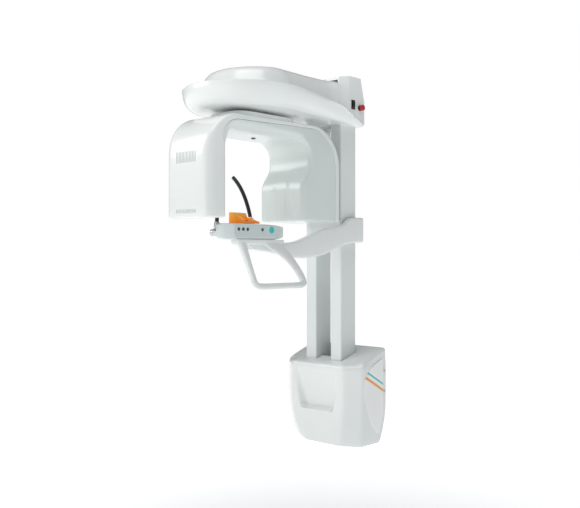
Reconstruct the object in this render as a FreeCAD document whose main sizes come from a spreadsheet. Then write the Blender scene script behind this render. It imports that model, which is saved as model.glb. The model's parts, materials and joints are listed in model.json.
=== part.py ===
"""Wall-hung panoramic dental X-ray unit.

A drive unit on the wall holds a column of two posts, which a rack and pinion lifts. The column's head
carries an overhead with a sliding carriage, and the arch with the X-ray source and the sensor turns
under it. A boom on the column holds the patient support: key panel, handle, chin rest, temple rests.

Frame: X to the right along the wall, Y into the wall, Z up. The origin is on the wall, at the centre
of the four wall bolts. Sizes are in millimetres.
"""
import FreeCAD
import Part
import math
import os

import Sketcher

V = FreeCAD.Vector
DOC = FreeCAD.newDocument("PanoramicUnit")
SHEET = DOC.addObject("Spreadsheet::Sheet", "Sizes")

SIZES = {
    # wall plate and lower unit
    "plate_half": 150, "plate_thick": 8, "bolt_step": 240, "bolt_hole": 5.5,
    "unit_half": 196, "unit_front_half": 132, "unit_deep": 195, "unit_side_deep": 144,
    "unit_low": -191, "unit_high": 188, "unit_brow": 129, "unit_taper": 28, "unit_chin_back": 51,
    "unit_wall": 4, "scoop_depth": 27, "scoop_floor": -56, "scoop_half_top": 118, "scoop_half_low": 72,
    "trim_thick": 2, "gland_radius": 9, "screw_head": 4.2, "screw_shank": 2, "screw_level": 100, "screw_level_low": 20,
    # column
    "post_wide": 54, "post_deep": 92, "post_gap": 74, "post_front": 153, "post_wall": 5,
    "post_low": -170, "post_high": 1084, "post_round": 5, "cap_thick": 4, "tie_high": 34,
    "slide_play": 0.3, "pad_thick": 3, "cheek_thick": 8, "guide_high": 40, "guide_upper": 70,
    "guide_lower": -40,
    "frame_half": 60, "frame_sheet": 6, "frame_inset": 28,
    # lift drive
    "gear_module": 2.5, "pinion_teeth": 14, "gear_wide": 20, "gear_play": 0.12, "rack_back": 12.5,
    "pinion_level": 30, "rack_foot": -150, "rack_teeth": 75, "shaft_radius": 6, "fit_play": 0.05,
    "gear_front": 118, "box_half": 32, "box_front": 50, "motor_radius": 24, "motor_long": 95,
    # overhead
    "axis_reach": 560, "bowl_reach": 560, "bowl_radius": 240, "bowl_low": 1060, "bowl_floor_radius": 165,
    "bowl_rise": 52, "bowl_rear_half": 119, "bowl_rear": 38, "rim_front": 1143, "rim_mid": 1116,
    "rim_rear": 1068, "rim_mid_reach": 220, "shell_wall": 4, "lid_radius": 188, "lid_front": 1216,
    "lid_rear": 1230, "lid_slope": 34, "neck_slot_half": 50, "carriage_travel": 40, "seam": 0.5,
    "head_half": 110, "head_rear": 30, "head_front": 147, "head_top": 1250, "head_bevel": 34, "head_bevel_deep": 22,
    "head_waist": 1158, "head_lean": 30,
    "beam_half": 76, "beam_web": 12, "beam_low": 1112, "beam_high": 1153, "beam_end": 715,
    "rail_radius": 8, "rail_half": 52, "rail_level": 1136, "rail_rear": 396,
    # carriage and arch drive
    "carriage_low": 1121, "carriage_high": 1151, "carriage_half": 62, "carriage_front": 70,
    "carriage_back": 150, "bearing_outside": 43, "bearing_split": 39, "journal": 35,
    "shaft_bore": 26, "pulley_low": 1100, "pulley_high": 1112, "arch_pulley_radius": 60,
    "motor_pulley_radius": 12, "belt_thick": 2, "belt_play": 0.2, "motor_reach": 115,
    "spindle_radius": 4,
    # rotating arch, measured from its axis along the beam
    "arch_front": 296, "arch_front_inner": 215, "arch_rear": 380, "arch_rear_inner": 163,
    "arch_rear_upper": 207, "arch_half": 110, "arch_low": 678, "arch_crown": 1034,
    "arch_ceiling": 975, "arch_corner": 150, "arch_inner_corner": 58,
    "arch_step_low": 810, "arch_step_high": 888, "arch_round": 38, "arch_wall": 4, "liner_deep": 12,
    "neck_half": 98, "neck_front": 140, "neck_back": 170, "neck_top": 1051, "yoke_half": 70,
    "yoke_front": 246, "yoke_rear": 324, "yoke_plate": 6, "tank_deep": 120, "tank_high": 150,
    "vent_half": 36, "vent_high": 38, "vent_level": 862, "vent_low_high": 12, "vent_low_level": 694,
    "vent_pitch": 6, "vent_slot": 2.6,
    # patient support
    "patient_reach": 600, "bracket_low": 612, "bracket_high": 688, "bracket_right": 95, "boom_thick": 24, "panel_face": 90, "panel_split": 66, "panel_back": 28, "chin_stem_x": 0, "tray_half": 40,
    "panel_low": 606, "panel_high": 662, "panel_half": 145, "panel_corner": 50, "panel_cheek": 23,
    "panel_wall": 3, "film_thick": 0.8, "key_radius": 5.5, "start_radius": 11, "key_play": 0.35,
    "key_proud": 2.6, "key_level": 642,
    "handle_wide": 22, "handle_deep": 16, "handle_top_half": 80, "handle_low_half": 115,
    "handle_top_x": 82, "handle_low_x": 196, "handle_low": 447, "handle_bend": 24,
    "chin_half": 32, "chin_long": 90, "chin_back": -30, "chin_high": 42, "chin_stem": 10, "chin_gap": 2,
    "temple_x": -38, "temple_spread": 98, "temple_level": 632, "temple_rod": 7, "temple_pin": 4,
    # controls on the head
    "switch_reach": 102, "switch_level": 1141, "switch_half_wide": 9, "switch_half_high": 16,
    "estop_reach": 60, "estop_level": 1133, "estop_radius": 12,
}


def fill_sheet():
    """Write every size in the sheet, as a plain number with an alias."""
    for row, (alias, value) in enumerate(SIZES.items(), 1):
        SHEET.set("A%d" % row, alias)
        SHEET.set("B%d" % row, str(value))
        SHEET.setAlias("B%d" % row, alias)
    DOC.recompute()


fill_sheet()
NODES = []


def bind(text):
    """An expression in plain size names, written the way the document reads it."""
    out, word = "", ""
    for letter in text + " ":
        if letter.isalnum() or letter == "_":
            word += letter
            continue
        out += ("Sizes." + word) if word in SIZES else word
        word = ""
        out += letter
    return out.strip()


def num(text):
    """The value of an expression in plain size names."""
    return float(SHEET.evalExpression(bind(str(text))))


def node(thing, label):
    """Name a finished piece: its label is the name of its file."""
    thing.Label = label
    NODES.append(thing)
    return thing


def set_bound(thing, **sizes):
    for name, text in sizes.items():
        thing.setExpression(name.replace("__", "."), bind(str(text)))


def block(x, y, z):
    """A box from pairs of low and high expressions."""
    thing = DOC.addObject("Part::Box", "Block")
    for side, base, (low, high) in zip(("Length", "Width", "Height"), "xyz", (x, y, z)):
        thing.setExpression(side, bind("(%s)-(%s)" % (high, low)))
        thing.setExpression("Placement.Base." + base, bind(str(low)))
    return thing


TURNS = {"X": FreeCAD.Rotation(V(0, 1, 0), 90), "Y": FreeCAD.Rotation(V(1, 0, 0), -90), "Z": FreeCAD.Rotation()}


def rod(axis, x, y, z, radius, length):
    """A cylinder that starts at x, y, z and runs along +axis."""
    thing = DOC.addObject("Part::Cylinder", "Rod")
    set_bound(thing, Radius=radius, Height=length)
    thing.Placement = FreeCAD.Placement(V(), TURNS[axis])
    for base, text in zip("xyz", (x, y, z)):
        thing.setExpression("Placement.Base." + base, bind(str(text)))
    return thing


def fused(*things):
    thing = DOC.addObject("Part::MultiFuse", "Fused")
    thing.Shapes = list(things)
    thing.Refine = True
    return thing


def group(*things):
    """Separate solids that share one node."""
    thing = DOC.addObject("Part::Compound", "Group")
    thing.Links = list(things)
    return thing


def cut(base, *tools):
    thing = DOC.addObject("Part::Cut", "Cut")
    thing.Base = base
    thing.Tool = tools[0] if len(tools) == 1 else fused(*tools)
    return thing


def common(first, second):
    thing = DOC.addObject("Part::Common", "Common")
    thing.Base = first
    thing.Tool = second
    return thing


def rounded(base, radius, pick):
    """Round the edges that pick chooses, by the middle and the direction of each edge."""
    DOC.recompute()
    thing = DOC.addObject("Part::Fillet", "Rounded")
    thing.Base = base
    size = num(radius)
    chosen = []
    for index, edge in enumerate(base.Shape.Edges, 1):
        middle = edge.CenterOfMass
        along = edge.tangentAt((edge.FirstParameter + edge.LastParameter) / 2)
        if pick(middle, along):
            chosen.append((index, size, size))
    thing.Edges = chosen
    return thing


def solid_piece(shape, name="Piece"):
    """A piece whose shape is made with Part's own functions."""
    thing = DOC.addObject("Part::Feature", name)
    thing.Shape = shape
    thing.Placement = FreeCAD.Placement()
    return thing


def padded_outline(plane, points, low, high):
    """A body with a closed outline of straight lines, padded from low to high across its plane."""
    body = DOC.addObject("PartDesign::Body", "Body")
    sketch = body.newObject("Sketcher::SketchObject", "Outline")
    origin = [o for o in body.Origin.OriginFeatures if o.Role == plane + "_Plane"][0]
    sketch.AttachmentSupport = [(origin, "")]
    sketch.MapMode = "FlatFace"
    flat = [(num(a), num(b)) for a, b in points]
    count = len(flat)
    for i in range(count):
        ax, ay = flat[i]
        bx, by = flat[(i + 1) % count]
        sketch.addGeometry(Part.LineSegment(V(ax, ay, 0), V(bx, by, 0)), False)
    for i in range(count):
        sketch.addConstraint(Sketcher.Constraint("Coincident", i, 2, (i + 1) % count, 1))
    for i, (a, b) in enumerate(points):
        for kind, text, value in (("DistanceX", a, flat[i][0]), ("DistanceY", b, flat[i][1])):
            index = sketch.addConstraint(Sketcher.Constraint(kind, -1, 1, i, 1, value))
            sketch.setExpression("Constraints[%d]" % index, bind(str(text)))
    pad = body.newObject("PartDesign::Pad", "Pad")
    pad.Profile = sketch
    pad.setExpression("Length", bind("(%s)-(%s)" % (high, low)))
    sketch.setExpression("AttachmentOffset.Base.z", bind("%s" % low if plane != "XZ" else "-(%s)" % high))
    return body


# ---------------------------------------------------------------- wall plate and lower unit

COL_HALF = "post_gap/2+post_wide"
POST_BACK = "post_front-post_deep"


def wall_plate():
    plate = block(("-plate_half", "plate_half"), ("-plate_thick", "0"), ("-plate_half", "plate_half"))
    holes = [rod("Y", "%s*bolt_step/2" % i, "-plate_thick-1", "%s*bolt_step/2" % k, "bolt_hole", "plate_thick+2")
             for i in (-1, 1) for k in (-1, 1)]
    node(cut(plate, *holes), "wall_plate")


def guide_frame():
    """Two cheeks and four bridges that hold the slide pads round the posts."""
    side = COL_HALF + "+pad_thick+slide_play"
    back_high = "-(%s)+pad_thick+slide_play" % POST_BACK
    front = "post_front+pad_thick+slide_play"
    cheeks = [block(x, ("-(%s)-cheek_thick/2" % front, "-plate_thick"), ("guide_lower", "guide_upper+guide_high"))
              for x in (("-(%s)-cheek_thick" % side, "-(%s)" % side), (side, side + "+cheek_thick"))]
    bridges = []
    for level in ("guide_lower", "guide_upper"):
        z = (level, level + "+guide_high")
        x = ("-(%s)" % side, side)
        bridges.append(block(x, ("-(%s)-cheek_thick/2" % front, "-(%s)" % front), z))
        bridges.append(block(x, (back_high, back_high + "+5"), z))
    node(fused(*cheeks, *bridges), "guide_frame")


def guide_pads():
    """Low-friction pads between the frame and the posts."""
    pads = []
    back = "-(%s)" % POST_BACK
    for level in ("guide_lower", "guide_upper"):
        z = (level + "+6", level + "+guide_high-6")
        for s in ("-1", "1"):
            low, high = "(%s)+slide_play" % COL_HALF, "(%s)+slide_play+pad_thick" % COL_HALF
            x = (low, high) if s == "1" else ("-(%s)" % high, "-(%s)" % low)
            pads.append(block(x, ("-post_front+15", back + "-15"), z))
            middle = "%s*(post_gap/2+post_wide/2)" % s
            x = (middle + "-post_wide/3", middle + "+post_wide/3")
            pads.append(block(x, ("-post_front-slide_play-pad_thick", "-post_front-slide_play"), z))
            pads.append(block(x, (back + "+slide_play", back + "+slide_play+pad_thick"), z))
    node(group(*pads), "guide_pads")


PINION_X = "post_gap/2-rack_back-gear_module*pinion_teeth/2"


def lift_drive():
    """Right-angle gearbox with its motor below it, behind the posts."""
    x = (PINION_X + "-box_half", PINION_X + "+box_half")
    box = block(x, ("-box_front", "-plate_thick"), ("pinion_level-78", "pinion_level+34"))
    box = rounded(box, "6", lambda m, t: abs(t.z) > 0.9)
    bore = rod("Y", PINION_X, "-box_front-1", "pinion_level", "shaft_radius+fit_play", "24")
    node(cut(box, bore), "lift_gearbox")
    node(rod("Z", PINION_X, "-plate_thick-motor_radius-1", "pinion_level-78-motor_long", "motor_radius",
             "motor_long"), "lift_motor")


def involute_gear(module, teeth, play, depth):
    """A spur gear's solid, standing on z = 0 about the z axis, with a tooth centred on +x."""
    pitch = module * teeth / 2
    base = pitch * math.cos(math.radians(20))
    tip, root = pitch + 0.85 * module, pitch - 1.25 * module
    half = math.pi / 2 / teeth - play / pitch

    def flank_angle(radius):
        def roll(r):
            return math.sqrt(max(r * r / base / base - 1, 0))
        lean = roll(radius) - math.atan(roll(radius))
        at_pitch = roll(pitch) - math.atan(roll(pitch))
        return half + at_pitch - lean

    points = []
    steps = 6
    for tooth in range(teeth):
        centre = 2 * math.pi * tooth / teeth
        radii = [max(base, root) + (tip - max(base, root)) * i / steps for i in range(steps + 1)]
        side = [(root, flank_angle(max(base, root)))] + [(r, flank_angle(r)) for r in radii]
        points += [(r, centre - a) for r, a in side]
        points += [(r, centre + a) for r, a in reversed(side)]
    flat = [V(r * math.cos(a), r * math.sin(a), 0) for r, a in points]
    return Part.Face(Part.makePolygon(flat + flat[:1])).extrude(V(0, 0, depth))


def lift_pinion():
    """The pinion and its shaft, with a tooth space facing the rack's tooth."""
    gear = involute_gear(num("gear_module"), int(num("pinion_teeth")), num("gear_play"), num("gear_wide"))
    gear.rotate(V(), V(1, 0, 0), 90)
    centre = V(num(PINION_X), -num("gear_front-gear_wide"), num("pinion_level"))
    gear.translate(centre)
    shaft = Part.makeCylinder(num("shaft_radius"), num("gear_front-gear_wide-box_front+20"), centre, V(0, 1, 0))
    node(solid_piece(gear.fuse(shaft).removeSplitter()), "lift_pinion")


def lift_rack():
    """Straight rack on the right post's inner side, in mesh with the pinion."""
    module = num("gear_module")
    step = math.pi * module
    pitch_x = num("post_gap/2-rack_back")
    tip, root = pitch_x - 0.85 * module, pitch_x + 1.2 * module
    lean = math.tan(math.radians(20))
    half = step / 4 - num("gear_play")
    foot = num("rack_foot")
    first = num("pinion_level") - step / 2
    first -= step * math.floor((first - foot) / step)
    points = [(num("post_gap/2"), foot), (root, foot)]
    for tooth in range(int(num("rack_teeth"))):
        z = first + step * tooth
        low, high = half + (root - pitch_x) * lean, half - (pitch_x - tip) * lean
        points += [(root, z - low), (tip, z - high), (tip, z + high), (root, z + low)]
    top = first + step * num("rack_teeth")
    points += [(root, top), (num("post_gap/2"), top)]
    y = -num("gear_front")
    wire = Part.makePolygon([V(x, y, z) for x, z in points + points[:1]])
    node(solid_piece(Part.Face(wire).extrude(V(0, num("gear_wide"), 0))), "lift_rack")


def unit_section(level, grow, taper, chin):
    """The lower unit's outline at one level, drawn in by grow, tapered at its foot."""
    side = num("unit_half") - grow - taper
    front = num("unit_front_half") - grow * 0.7 - taper
    deep, side_deep = num("unit_deep") - grow - chin, num("unit_side_deep") - grow * 0.7 - chin * 0.8
    ring = [V(side, 0, level), V(side, -side_deep, level), V(front, -deep, level),
            V(-front, -deep, level), V(-side, -side_deep, level), V(-side, 0, level)]
    return Part.makePolygon(ring + ring[:1])


def unit_solid(grow):
    """The lower unit's body: straight sides, a tapering foot, a top that falls towards the front."""
    low, high = num("unit_low") + grow, num("unit_high")
    taper, chin = num("unit_taper"), num("unit_chin_back")
    levels = [(low, taper, chin + 24), (low + 32, taper * 0.85, chin * 0.8), (low + 100, taper * 0.4, chin * 0.25),
              (low + 180, 0, 0), (high + 30, 0, 0)]
    parts = []
    for (z0, t0, c0), (z1, t1, c1) in zip(levels, levels[1:]):
        parts.append(Part.makeLoft([unit_section(z0, grow, t0, c0), unit_section(z1, grow, t1, c1)], True, True))
    body = parts[0].multiFuse(parts[1:]).removeSplitter()
    deep, brow = num("unit_deep"), num("unit_brow") - grow
    wide = num("unit_half") + 10
    slope = Part.makePolygon([V(-wide, 1, high - grow), V(-wide, -62, high - grow - 4), V(-wide, -deep, brow),
                              V(-wide, -deep - 20, brow - 8), V(-wide, -deep - 20, high + 60),
                              V(-wide, 1, high + 60), V(-wide, 1, high - grow)])
    body = body.cut(Part.Face(slope).extrude(V(2 * wide, 0, 0)))
    return body.cut(scoop_tool(grow))


def scoop_tool(grow):
    """The wedge that leaves the hollow in the front, narrow at its shelf."""
    deep, floor = num("unit_deep"), num("scoop_floor")
    top, low = num("scoop_half_top") + grow, num("scoop_half_low") + grow
    back_top, back_low = deep - 2 - grow, deep - num("scoop_depth") - grow
    high = num("unit_brow") + 20
    out = deep + 20
    face_high = Part.makePolygon([V(-top, -back_top, high), V(top, -back_top, high), V(top, -out, high),
                                  V(-top, -out, high), V(-top, -back_top, high)])
    face_low = Part.makePolygon([V(-low, -back_low, floor), V(low, -back_low, floor), V(low + 12, -out, floor - grow),
                                 V(-low - 12, -out, floor - grow), V(-low, -back_low, floor)])
    return Part.makeLoft([face_high, face_low], True, True)


def lower_cover():
    """Moulded cover, open at the wall, with two wells for the posts above and below."""
    outer = unit_solid(0)
    inner = unit_solid(num("unit_wall"))
    inner = inner.fuse(Part.makeBox(2 * num("unit_half-unit_wall") - 60, 3, 300,
                                    V(-num("unit_half-unit_wall") + 30, -2, -150)))
    shell = outer.cut(inner)
    play = 2.5
    for s in (-1, 1):
        x = s * num("post_gap/2+post_wide/2") - num("post_wide") / 2 - play
        well = Part.makeBox(num("post_wide") + 2 * play, num("post_deep") + 2 * play, 600,
                            V(x, -num("post_front") - play, -300))
        shell = shell.cut(well)
    gap, front = num("post_gap"), num("gear_front") + 3
    between = Part.makeBox(gap, 26, 120, V(-gap / 2, -front, 100))
    below = Part.makeBox(gap, front - num(POST_BACK) + play, 180, V(-gap / 2, -front, -300))
    gland = Part.makeCylinder(num("gland_radius") + 0.3, 40, V(-118, -40, num("unit_low") - 10))
    shell = shell.cut(between.fuse([below, gland]))
    for s in (-1, 1):
        for z in (num("screw_level_low"), num("screw_level")):
            x = s * num("unit_half") - 7
            shell = shell.cut(Part.makeCylinder(num("screw_shank") + 0.2, 14, V(x, -12, z), V(1, 0, 0)))
    body = max(shell.Solids, key=lambda one: one.Volume)
    node(solid_piece(body), "lower_cover")


def trim_outline():
    return [("-unit_side_deep+14", "unit_brow-22"), ("-26", "unit_brow+22"), ("-26", "-70"),
            ("-unit_side_deep+34", "-70"), ("-unit_side_deep+14", "-30")]


def side_trims():
    right = padded_outline("YZ", trim_outline(), "unit_half", "unit_half+trim_thick")
    left = padded_outline("YZ", trim_outline(), "-unit_half-trim_thick", "-unit_half")
    node(group(right, left), "side_trims")


def lower_unit_inside():
    supply = block(("-plate_half+6", "-(%s)-pad_thick-slide_play-cheek_thick-4" % COL_HALF),
                   ("-118", "-plate_thick"), ("-90", "80"))
    node(rounded(supply, "3", lambda m, t: True), "power_supply")
    stem = rod("Z", "-118", "-40", "unit_low-6", "gland_radius", "30")
    nut = rod("Z", "-118", "-40", "unit_low+unit_wall+1", "gland_radius+5", "8")
    strap = block(("-130", "-106"), ("-40-gland_radius", "-plate_thick"), ("unit_low+unit_wall+9", "-plate_half+12"))
    node(fused(stem, nut, strap), "mains_gland")
    screws = []
    for s in (-1, 1):
        for z in ("screw_level_low", "screw_level"):
            head = rod("X", "%s*unit_half-%s" % (s, 0 if s > 0 else 2.4), "-12", z, "screw_head", "2.4")
            shank = rod("X", "%s*unit_half-%s" % (s, 9 if s > 0 else 0), "-12", z, "screw_shank", "9")
            screws.append(fused(head, shank))
    node(group(*screws), "cover_screws")


# ---------------------------------------------------------------- column

def posts():
    for name, low, high in (("left_post", "-(%s)" % COL_HALF, "-post_gap/2"), ("right_post", "post_gap/2", COL_HALF)):
        y = ("-post_front", "-(%s)" % POST_BACK)
        outer = block((low, high), y, ("post_low", "post_high"))
        outer = rounded(outer, "post_round", lambda m, t: abs(t.z) > 0.9)
        inner = block((low + "+post_wall", high + "-post_wall"), (y[0] + "+post_wall", y[1] + "-post_wall"),
                      ("post_low-1", "post_high+1"))
        node(cut(outer, inner), name)


def column_ends():
    caps = [block((low + "+1", high + "-1"), ("-post_front+1", "-(%s)-1" % POST_BACK),
                  ("post_low-cap_thick", "post_low"))
            for low, high in (("-(%s)" % COL_HALF, "-post_gap/2"), ("post_gap/2", COL_HALF))]
    back = "-(%s)" % POST_BACK
    low_tie = block(("-post_gap/2", "post_gap/2"), (back + "-30", back + "-8"), ("post_low", "post_low+24"))
    top_tie = block(("-post_gap/2", "post_gap/2"), ("-post_front+8", "-(%s)-8" % POST_BACK),
                    ("post_high-tie_high", "post_high"))
    top = block(("-(%s)" % COL_HALF, COL_HALF), ("-post_front+6", back), ("post_high", "post_high+6"))
    node(group(low_tie, *caps), "post_foot")
    deep = ("-post_front+frame_inset", back + "-20")
    uprights = [block(x, deep, ("post_high+6", "head_top-20"))
                for x in (("-frame_half", "-frame_half+frame_sheet"), ("frame_half-frame_sheet", "frame_half"))]
    bridge = block(("-frame_half", "frame_half"), deep, ("head_top-20", "head_top-shell_wall"))
    node(fused(top_tie, top, bridge, *uprights), "head_frame")


def overhead_beam():
    """Two webs from the posts to the nose, joined by an end plate and two cross members."""
    end = block(("-beam_half", "beam_half"), ("-post_front-8", "-post_front"), ("bowl_low+6", "beam_high"))
    webs = [block(x, ("-beam_end", "-post_front-8"), ("beam_low", "beam_high"))
            for x in (("-beam_half", "-beam_half+beam_web"), ("beam_half-beam_web", "beam_half"))]
    x = ("-beam_half+beam_web", "beam_half-beam_web")
    nose = block(x, ("-beam_end", "-beam_end+10"), ("beam_low", "beam_high"))
    middle = block(x, ("-rail_rear", "-rail_rear+10"), ("beam_low", "beam_high"))
    node(fused(end, *webs, nose, middle), "overhead_beam")
    rails = [rod("Y", "%s*rail_half" % s, "-beam_end+10", "rail_level", "rail_radius", "beam_end-rail_rear-10")
             for s in (-1, 1)]
    node(group(*rails), "slide_rails")


def plan_wire(level, radius, rear_half, rear, reach):
    """A plan outline: a half round about the arch's axis that runs in to the column at its rear."""
    axis = V(0, -reach, level)
    corner = V(rear_half, -rear, level)
    away = corner - axis
    turn = math.atan2(away.y, away.x) - math.acos(radius / away.Length)
    right = axis + V(radius * math.cos(turn), radius * math.sin(turn), 0)
    left = V(-right.x, right.y, level)
    nose = axis + V(0, -radius, 0)
    edges = [Part.makeLine(corner, right), Part.Arc(right, nose, left).toShape(),
             Part.makeLine(left, V(-rear_half, -rear, level)), Part.makeLine(V(-rear_half, -rear, level), corner)]
    return Part.Wire(edges)


def bowl_solid(grow):
    """The bowl's body: a flat floor that rounds up into its side band."""
    low = num("bowl_low") + grow
    radius, floor = num("bowl_radius") - grow, num("bowl_floor_radius") - grow * 0.5
    rear_half = num("bowl_rear_half") - grow
    reach, rear = num("bowl_reach"), num("bowl_rear") + grow
    rise = num("bowl_rise")
    wires = []
    for share in (0, 0.25, 0.5, 0.75, 1):
        lift = math.sin(share * math.pi / 2)
        out = 1 - math.cos(share * math.pi / 2)
        r = floor + (radius - floor) * lift
        half = rear_half - 26 * (1 - lift)
        wires.append(plan_wire(low + rise * out, r, half, rear, reach))
    band = Part.makeLoft(wires, True, False)
    top = Part.makeLoft([plan_wire(low + rise, radius, rear_half, rear, reach),
                         plan_wire(num("rim_front") + 60, radius, rear_half, rear, reach)], True, True)
    return band.fuse(top).removeSplitter()


def above_rim(lift):
    """Everything above the line where bowl and lid meet."""
    wide = 400
    front = num("bowl_reach+bowl_radius") + 60
    points = [(-front, num("rim_front")), (-num("rim_mid_reach"), num("rim_mid")), (-num("bowl_rear"), num("rim_rear")),
              (60, num("rim_rear") - 20), (60, 1500), (-front, 1500)]
    ring = [V(-wide, y, z + (lift if z < 1400 else 0)) for y, z in points]
    return Part.Face(Part.makePolygon(ring + ring[:1])).extrude(V(2 * wide, 0, 0))


def overhead_bowl():
    wall = num("shell_wall")
    shell = bowl_solid(0).cut(above_rim(0)).cut(bowl_solid(wall).cut(above_rim(-wall)))
    under = Part.makeBox(800, 1000, 200, V(-400, -900, num("bowl_low") + wall - 200))
    for opening in (lid_solid(2 * wall), head_solid(2 * wall)):
        shell = shell.cut(opening.cut(under))
    side = num(COL_HALF) + 1
    well = Part.makeBox(2 * side, num("post_deep") + 2, 60, V(-side, -num("post_front") - 1, num("bowl_low") - 10))
    nose = Part.makeBox(2 * num("beam_half") + 4, 60, 100, V(-num("beam_half") - 2, -num("post_front") - 20,
                                                            num("bowl_low") + 10))
    shell = shell.cut(well.fuse(nose))
    half, reach = num("neck_slot_half"), num("axis_reach")
    travel = num("carriage_travel")
    slot = Part.makeBox(2 * half, travel, 40, V(-half, -reach - travel, num("bowl_low") - 10))
    for y in (-reach, -reach - travel):
        slot = slot.fuse(Part.makeCylinder(half, 40, V(0, y, num("bowl_low") - 10)))
    shell = shell.cut(slot)
    node(solid_piece(max(shell.Solids, key=lambda one: one.Volume)), "overhead_bowl")


def lid_solid(grow):
    """The lid's body: a low dome with a sloping side that runs back into the head."""
    slope, radius, reach = num("lid_slope"), num("lid_radius") - grow, num("bowl_reach")
    rear, rear_half = num("head_front") - 20, num("head_half-head_bevel") - grow
    low = plan_wire(num("rim_rear") - 30, radius, rear_half, rear, reach)
    high = plan_wire(num("rim_front") - 4, radius, rear_half, rear, reach)
    top = plan_wire(num("head_top") + 20, radius - slope * 2.2, rear_half - slope * 0.2, rear, reach - slope * 0.6)
    body = Part.makeLoft([low, high], True, True).fuse(Part.makeLoft([high, top], True, True)).removeSplitter()
    front, back = reach + radius + 40, -num("head_front") + 30
    points = [(-front, num("lid_front") - 14 - grow), (-reach - radius * 0.5, num("lid_front") - grow),
              (-reach, num("lid_rear") - 8 - grow), (-num("rim_mid_reach"), num("lid_rear") - grow),
              (back, num("head_top") - 2 - grow), (back, 1500), (-front, 1500)]
    ring = [V(-400, y, z) for y, z in points]
    return body.cut(Part.Face(Part.makePolygon(ring + ring[:1])).extrude(V(800, 0, 0)))


def head_solid(grow):
    """The head's body: bevelled at the front corners, leaning forward above its waist at the back."""
    half, front, rear = num("head_half") - grow, num("head_front") - grow, num("head_rear") + grow
    bevel, deep = num("head_bevel"), num("head_bevel_deep")
    low, high = num("bowl_low") - 12, num("head_top") - grow
    ring = [V(half, -rear, low), V(half, -front + deep, low), V(half - bevel, -front, low),
            V(-half + bevel, -front, low), V(-half, -front + deep, low), V(-half, -rear, low)]
    body = Part.Face(Part.makePolygon(ring + ring[:1])).extrude(V(0, 0, high - low))
    waist, lean = num("head_waist"), num("head_lean")
    away = [V(-300, -rear, waist), V(-300, 100, waist), V(-300, 100, high + 20), V(-300, -rear - lean, high + 20)]
    return body.cut(Part.Face(Part.makePolygon(away + away[:1])).extrude(V(600, 0, 0)))


def overhead_lid():
    lid = lid_solid(0).cut(lid_solid(num("shell_wall")))
    lid = lid.common(above_rim(num("seam"))).cut(head_solid(-num("seam")))
    node(solid_piece(max(lid.Solids, key=lambda one: one.Volume)), "overhead_lid")


def head_cover():
    wall = num("shell_wall")
    shell = head_solid(0).cut(head_solid(wall)).common(above_rim(num("seam")))
    window = lid_solid(num("shell_wall")).common(Part.makeBox(600, 60, 400, V(-300, -num("head_front") - 30, 1000)))
    face = num("head_half") - 10
    barrel = Part.makeCylinder(num("estop_radius") - 3 + 0.3, 20,
                               V(face, -num("estop_reach"), num("estop_level")), V(1, 0, 0))
    wide, high = num("switch_half_wide") + 0.5, num("switch_half_high") + 0.5
    mouth = Part.makeBox(20, 2 * wide, 2 * high,
                         V(face, -num("switch_reach") - wide, num("switch_level") - high))
    shell = shell.cut(window.fuse(barrel)).cut(mouth)
    node(solid_piece(max(shell.Solids, key=lambda one: one.Volume)), "head_cover")


def head_controls():
    """Mains rocker and stop button, with the frame and the collar that hold them."""
    face, y, z = "head_half", "-switch_reach", "switch_level"
    wide, high = "switch_half_wide", "switch_half_high"

    def around(low, top, extra):
        return block((face + low, face + top), ("%s-%s-%s" % (y, wide, extra), "%s+%s+%s" % (y, wide, extra)),
                     ("%s-%s-%s" % (z, high, extra), "%s+%s+%s" % (z, high, extra)))

    flange, sleeve = around("+0", "+2", "2"), around("-14", "+0", "0.3")
    mouth = around("-12", "+3", "(-1.5)")
    node(cut(fused(flange, sleeve), mouth), "switch_bezel")
    disc = rod("Y", face + "-6", y + "-switch_half_wide+1.8", z, "switch_half_high-1", "2*switch_half_wide-3.6")
    pad = block((face + "-9.5", face + "+5.5"), (y + "-switch_half_wide+1.8", y + "+switch_half_wide-1.8"),
                (z + "-switch_half_high+3", z + "+switch_half_high-3"))
    node(common(disc, pad), "mains_rocker")
    y, z = "-estop_reach", "estop_level"
    collar = rod("X", face, y, z, "estop_radius-1", "4")
    barrel = rod("X", face + "-20", y, z, "estop_radius-3", "20")
    bore = rod("X", face + "-16", y, z, "estop_radius-7+fit_play", "21")
    node(cut(fused(collar, barrel), bore), "estop_collar")
    stem = rod("X", face + "-10", y, z, "estop_radius-7", "20")
    cap = rod("X", face + "+9", y, z, "estop_radius", "10")
    cap = rounded(cap, "3", lambda m, t: m.x > num("head_half") + 12)
    node(fused(stem, cap), "estop_button")


# ---------------------------------------------------------------- carriage and arch drive

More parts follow.
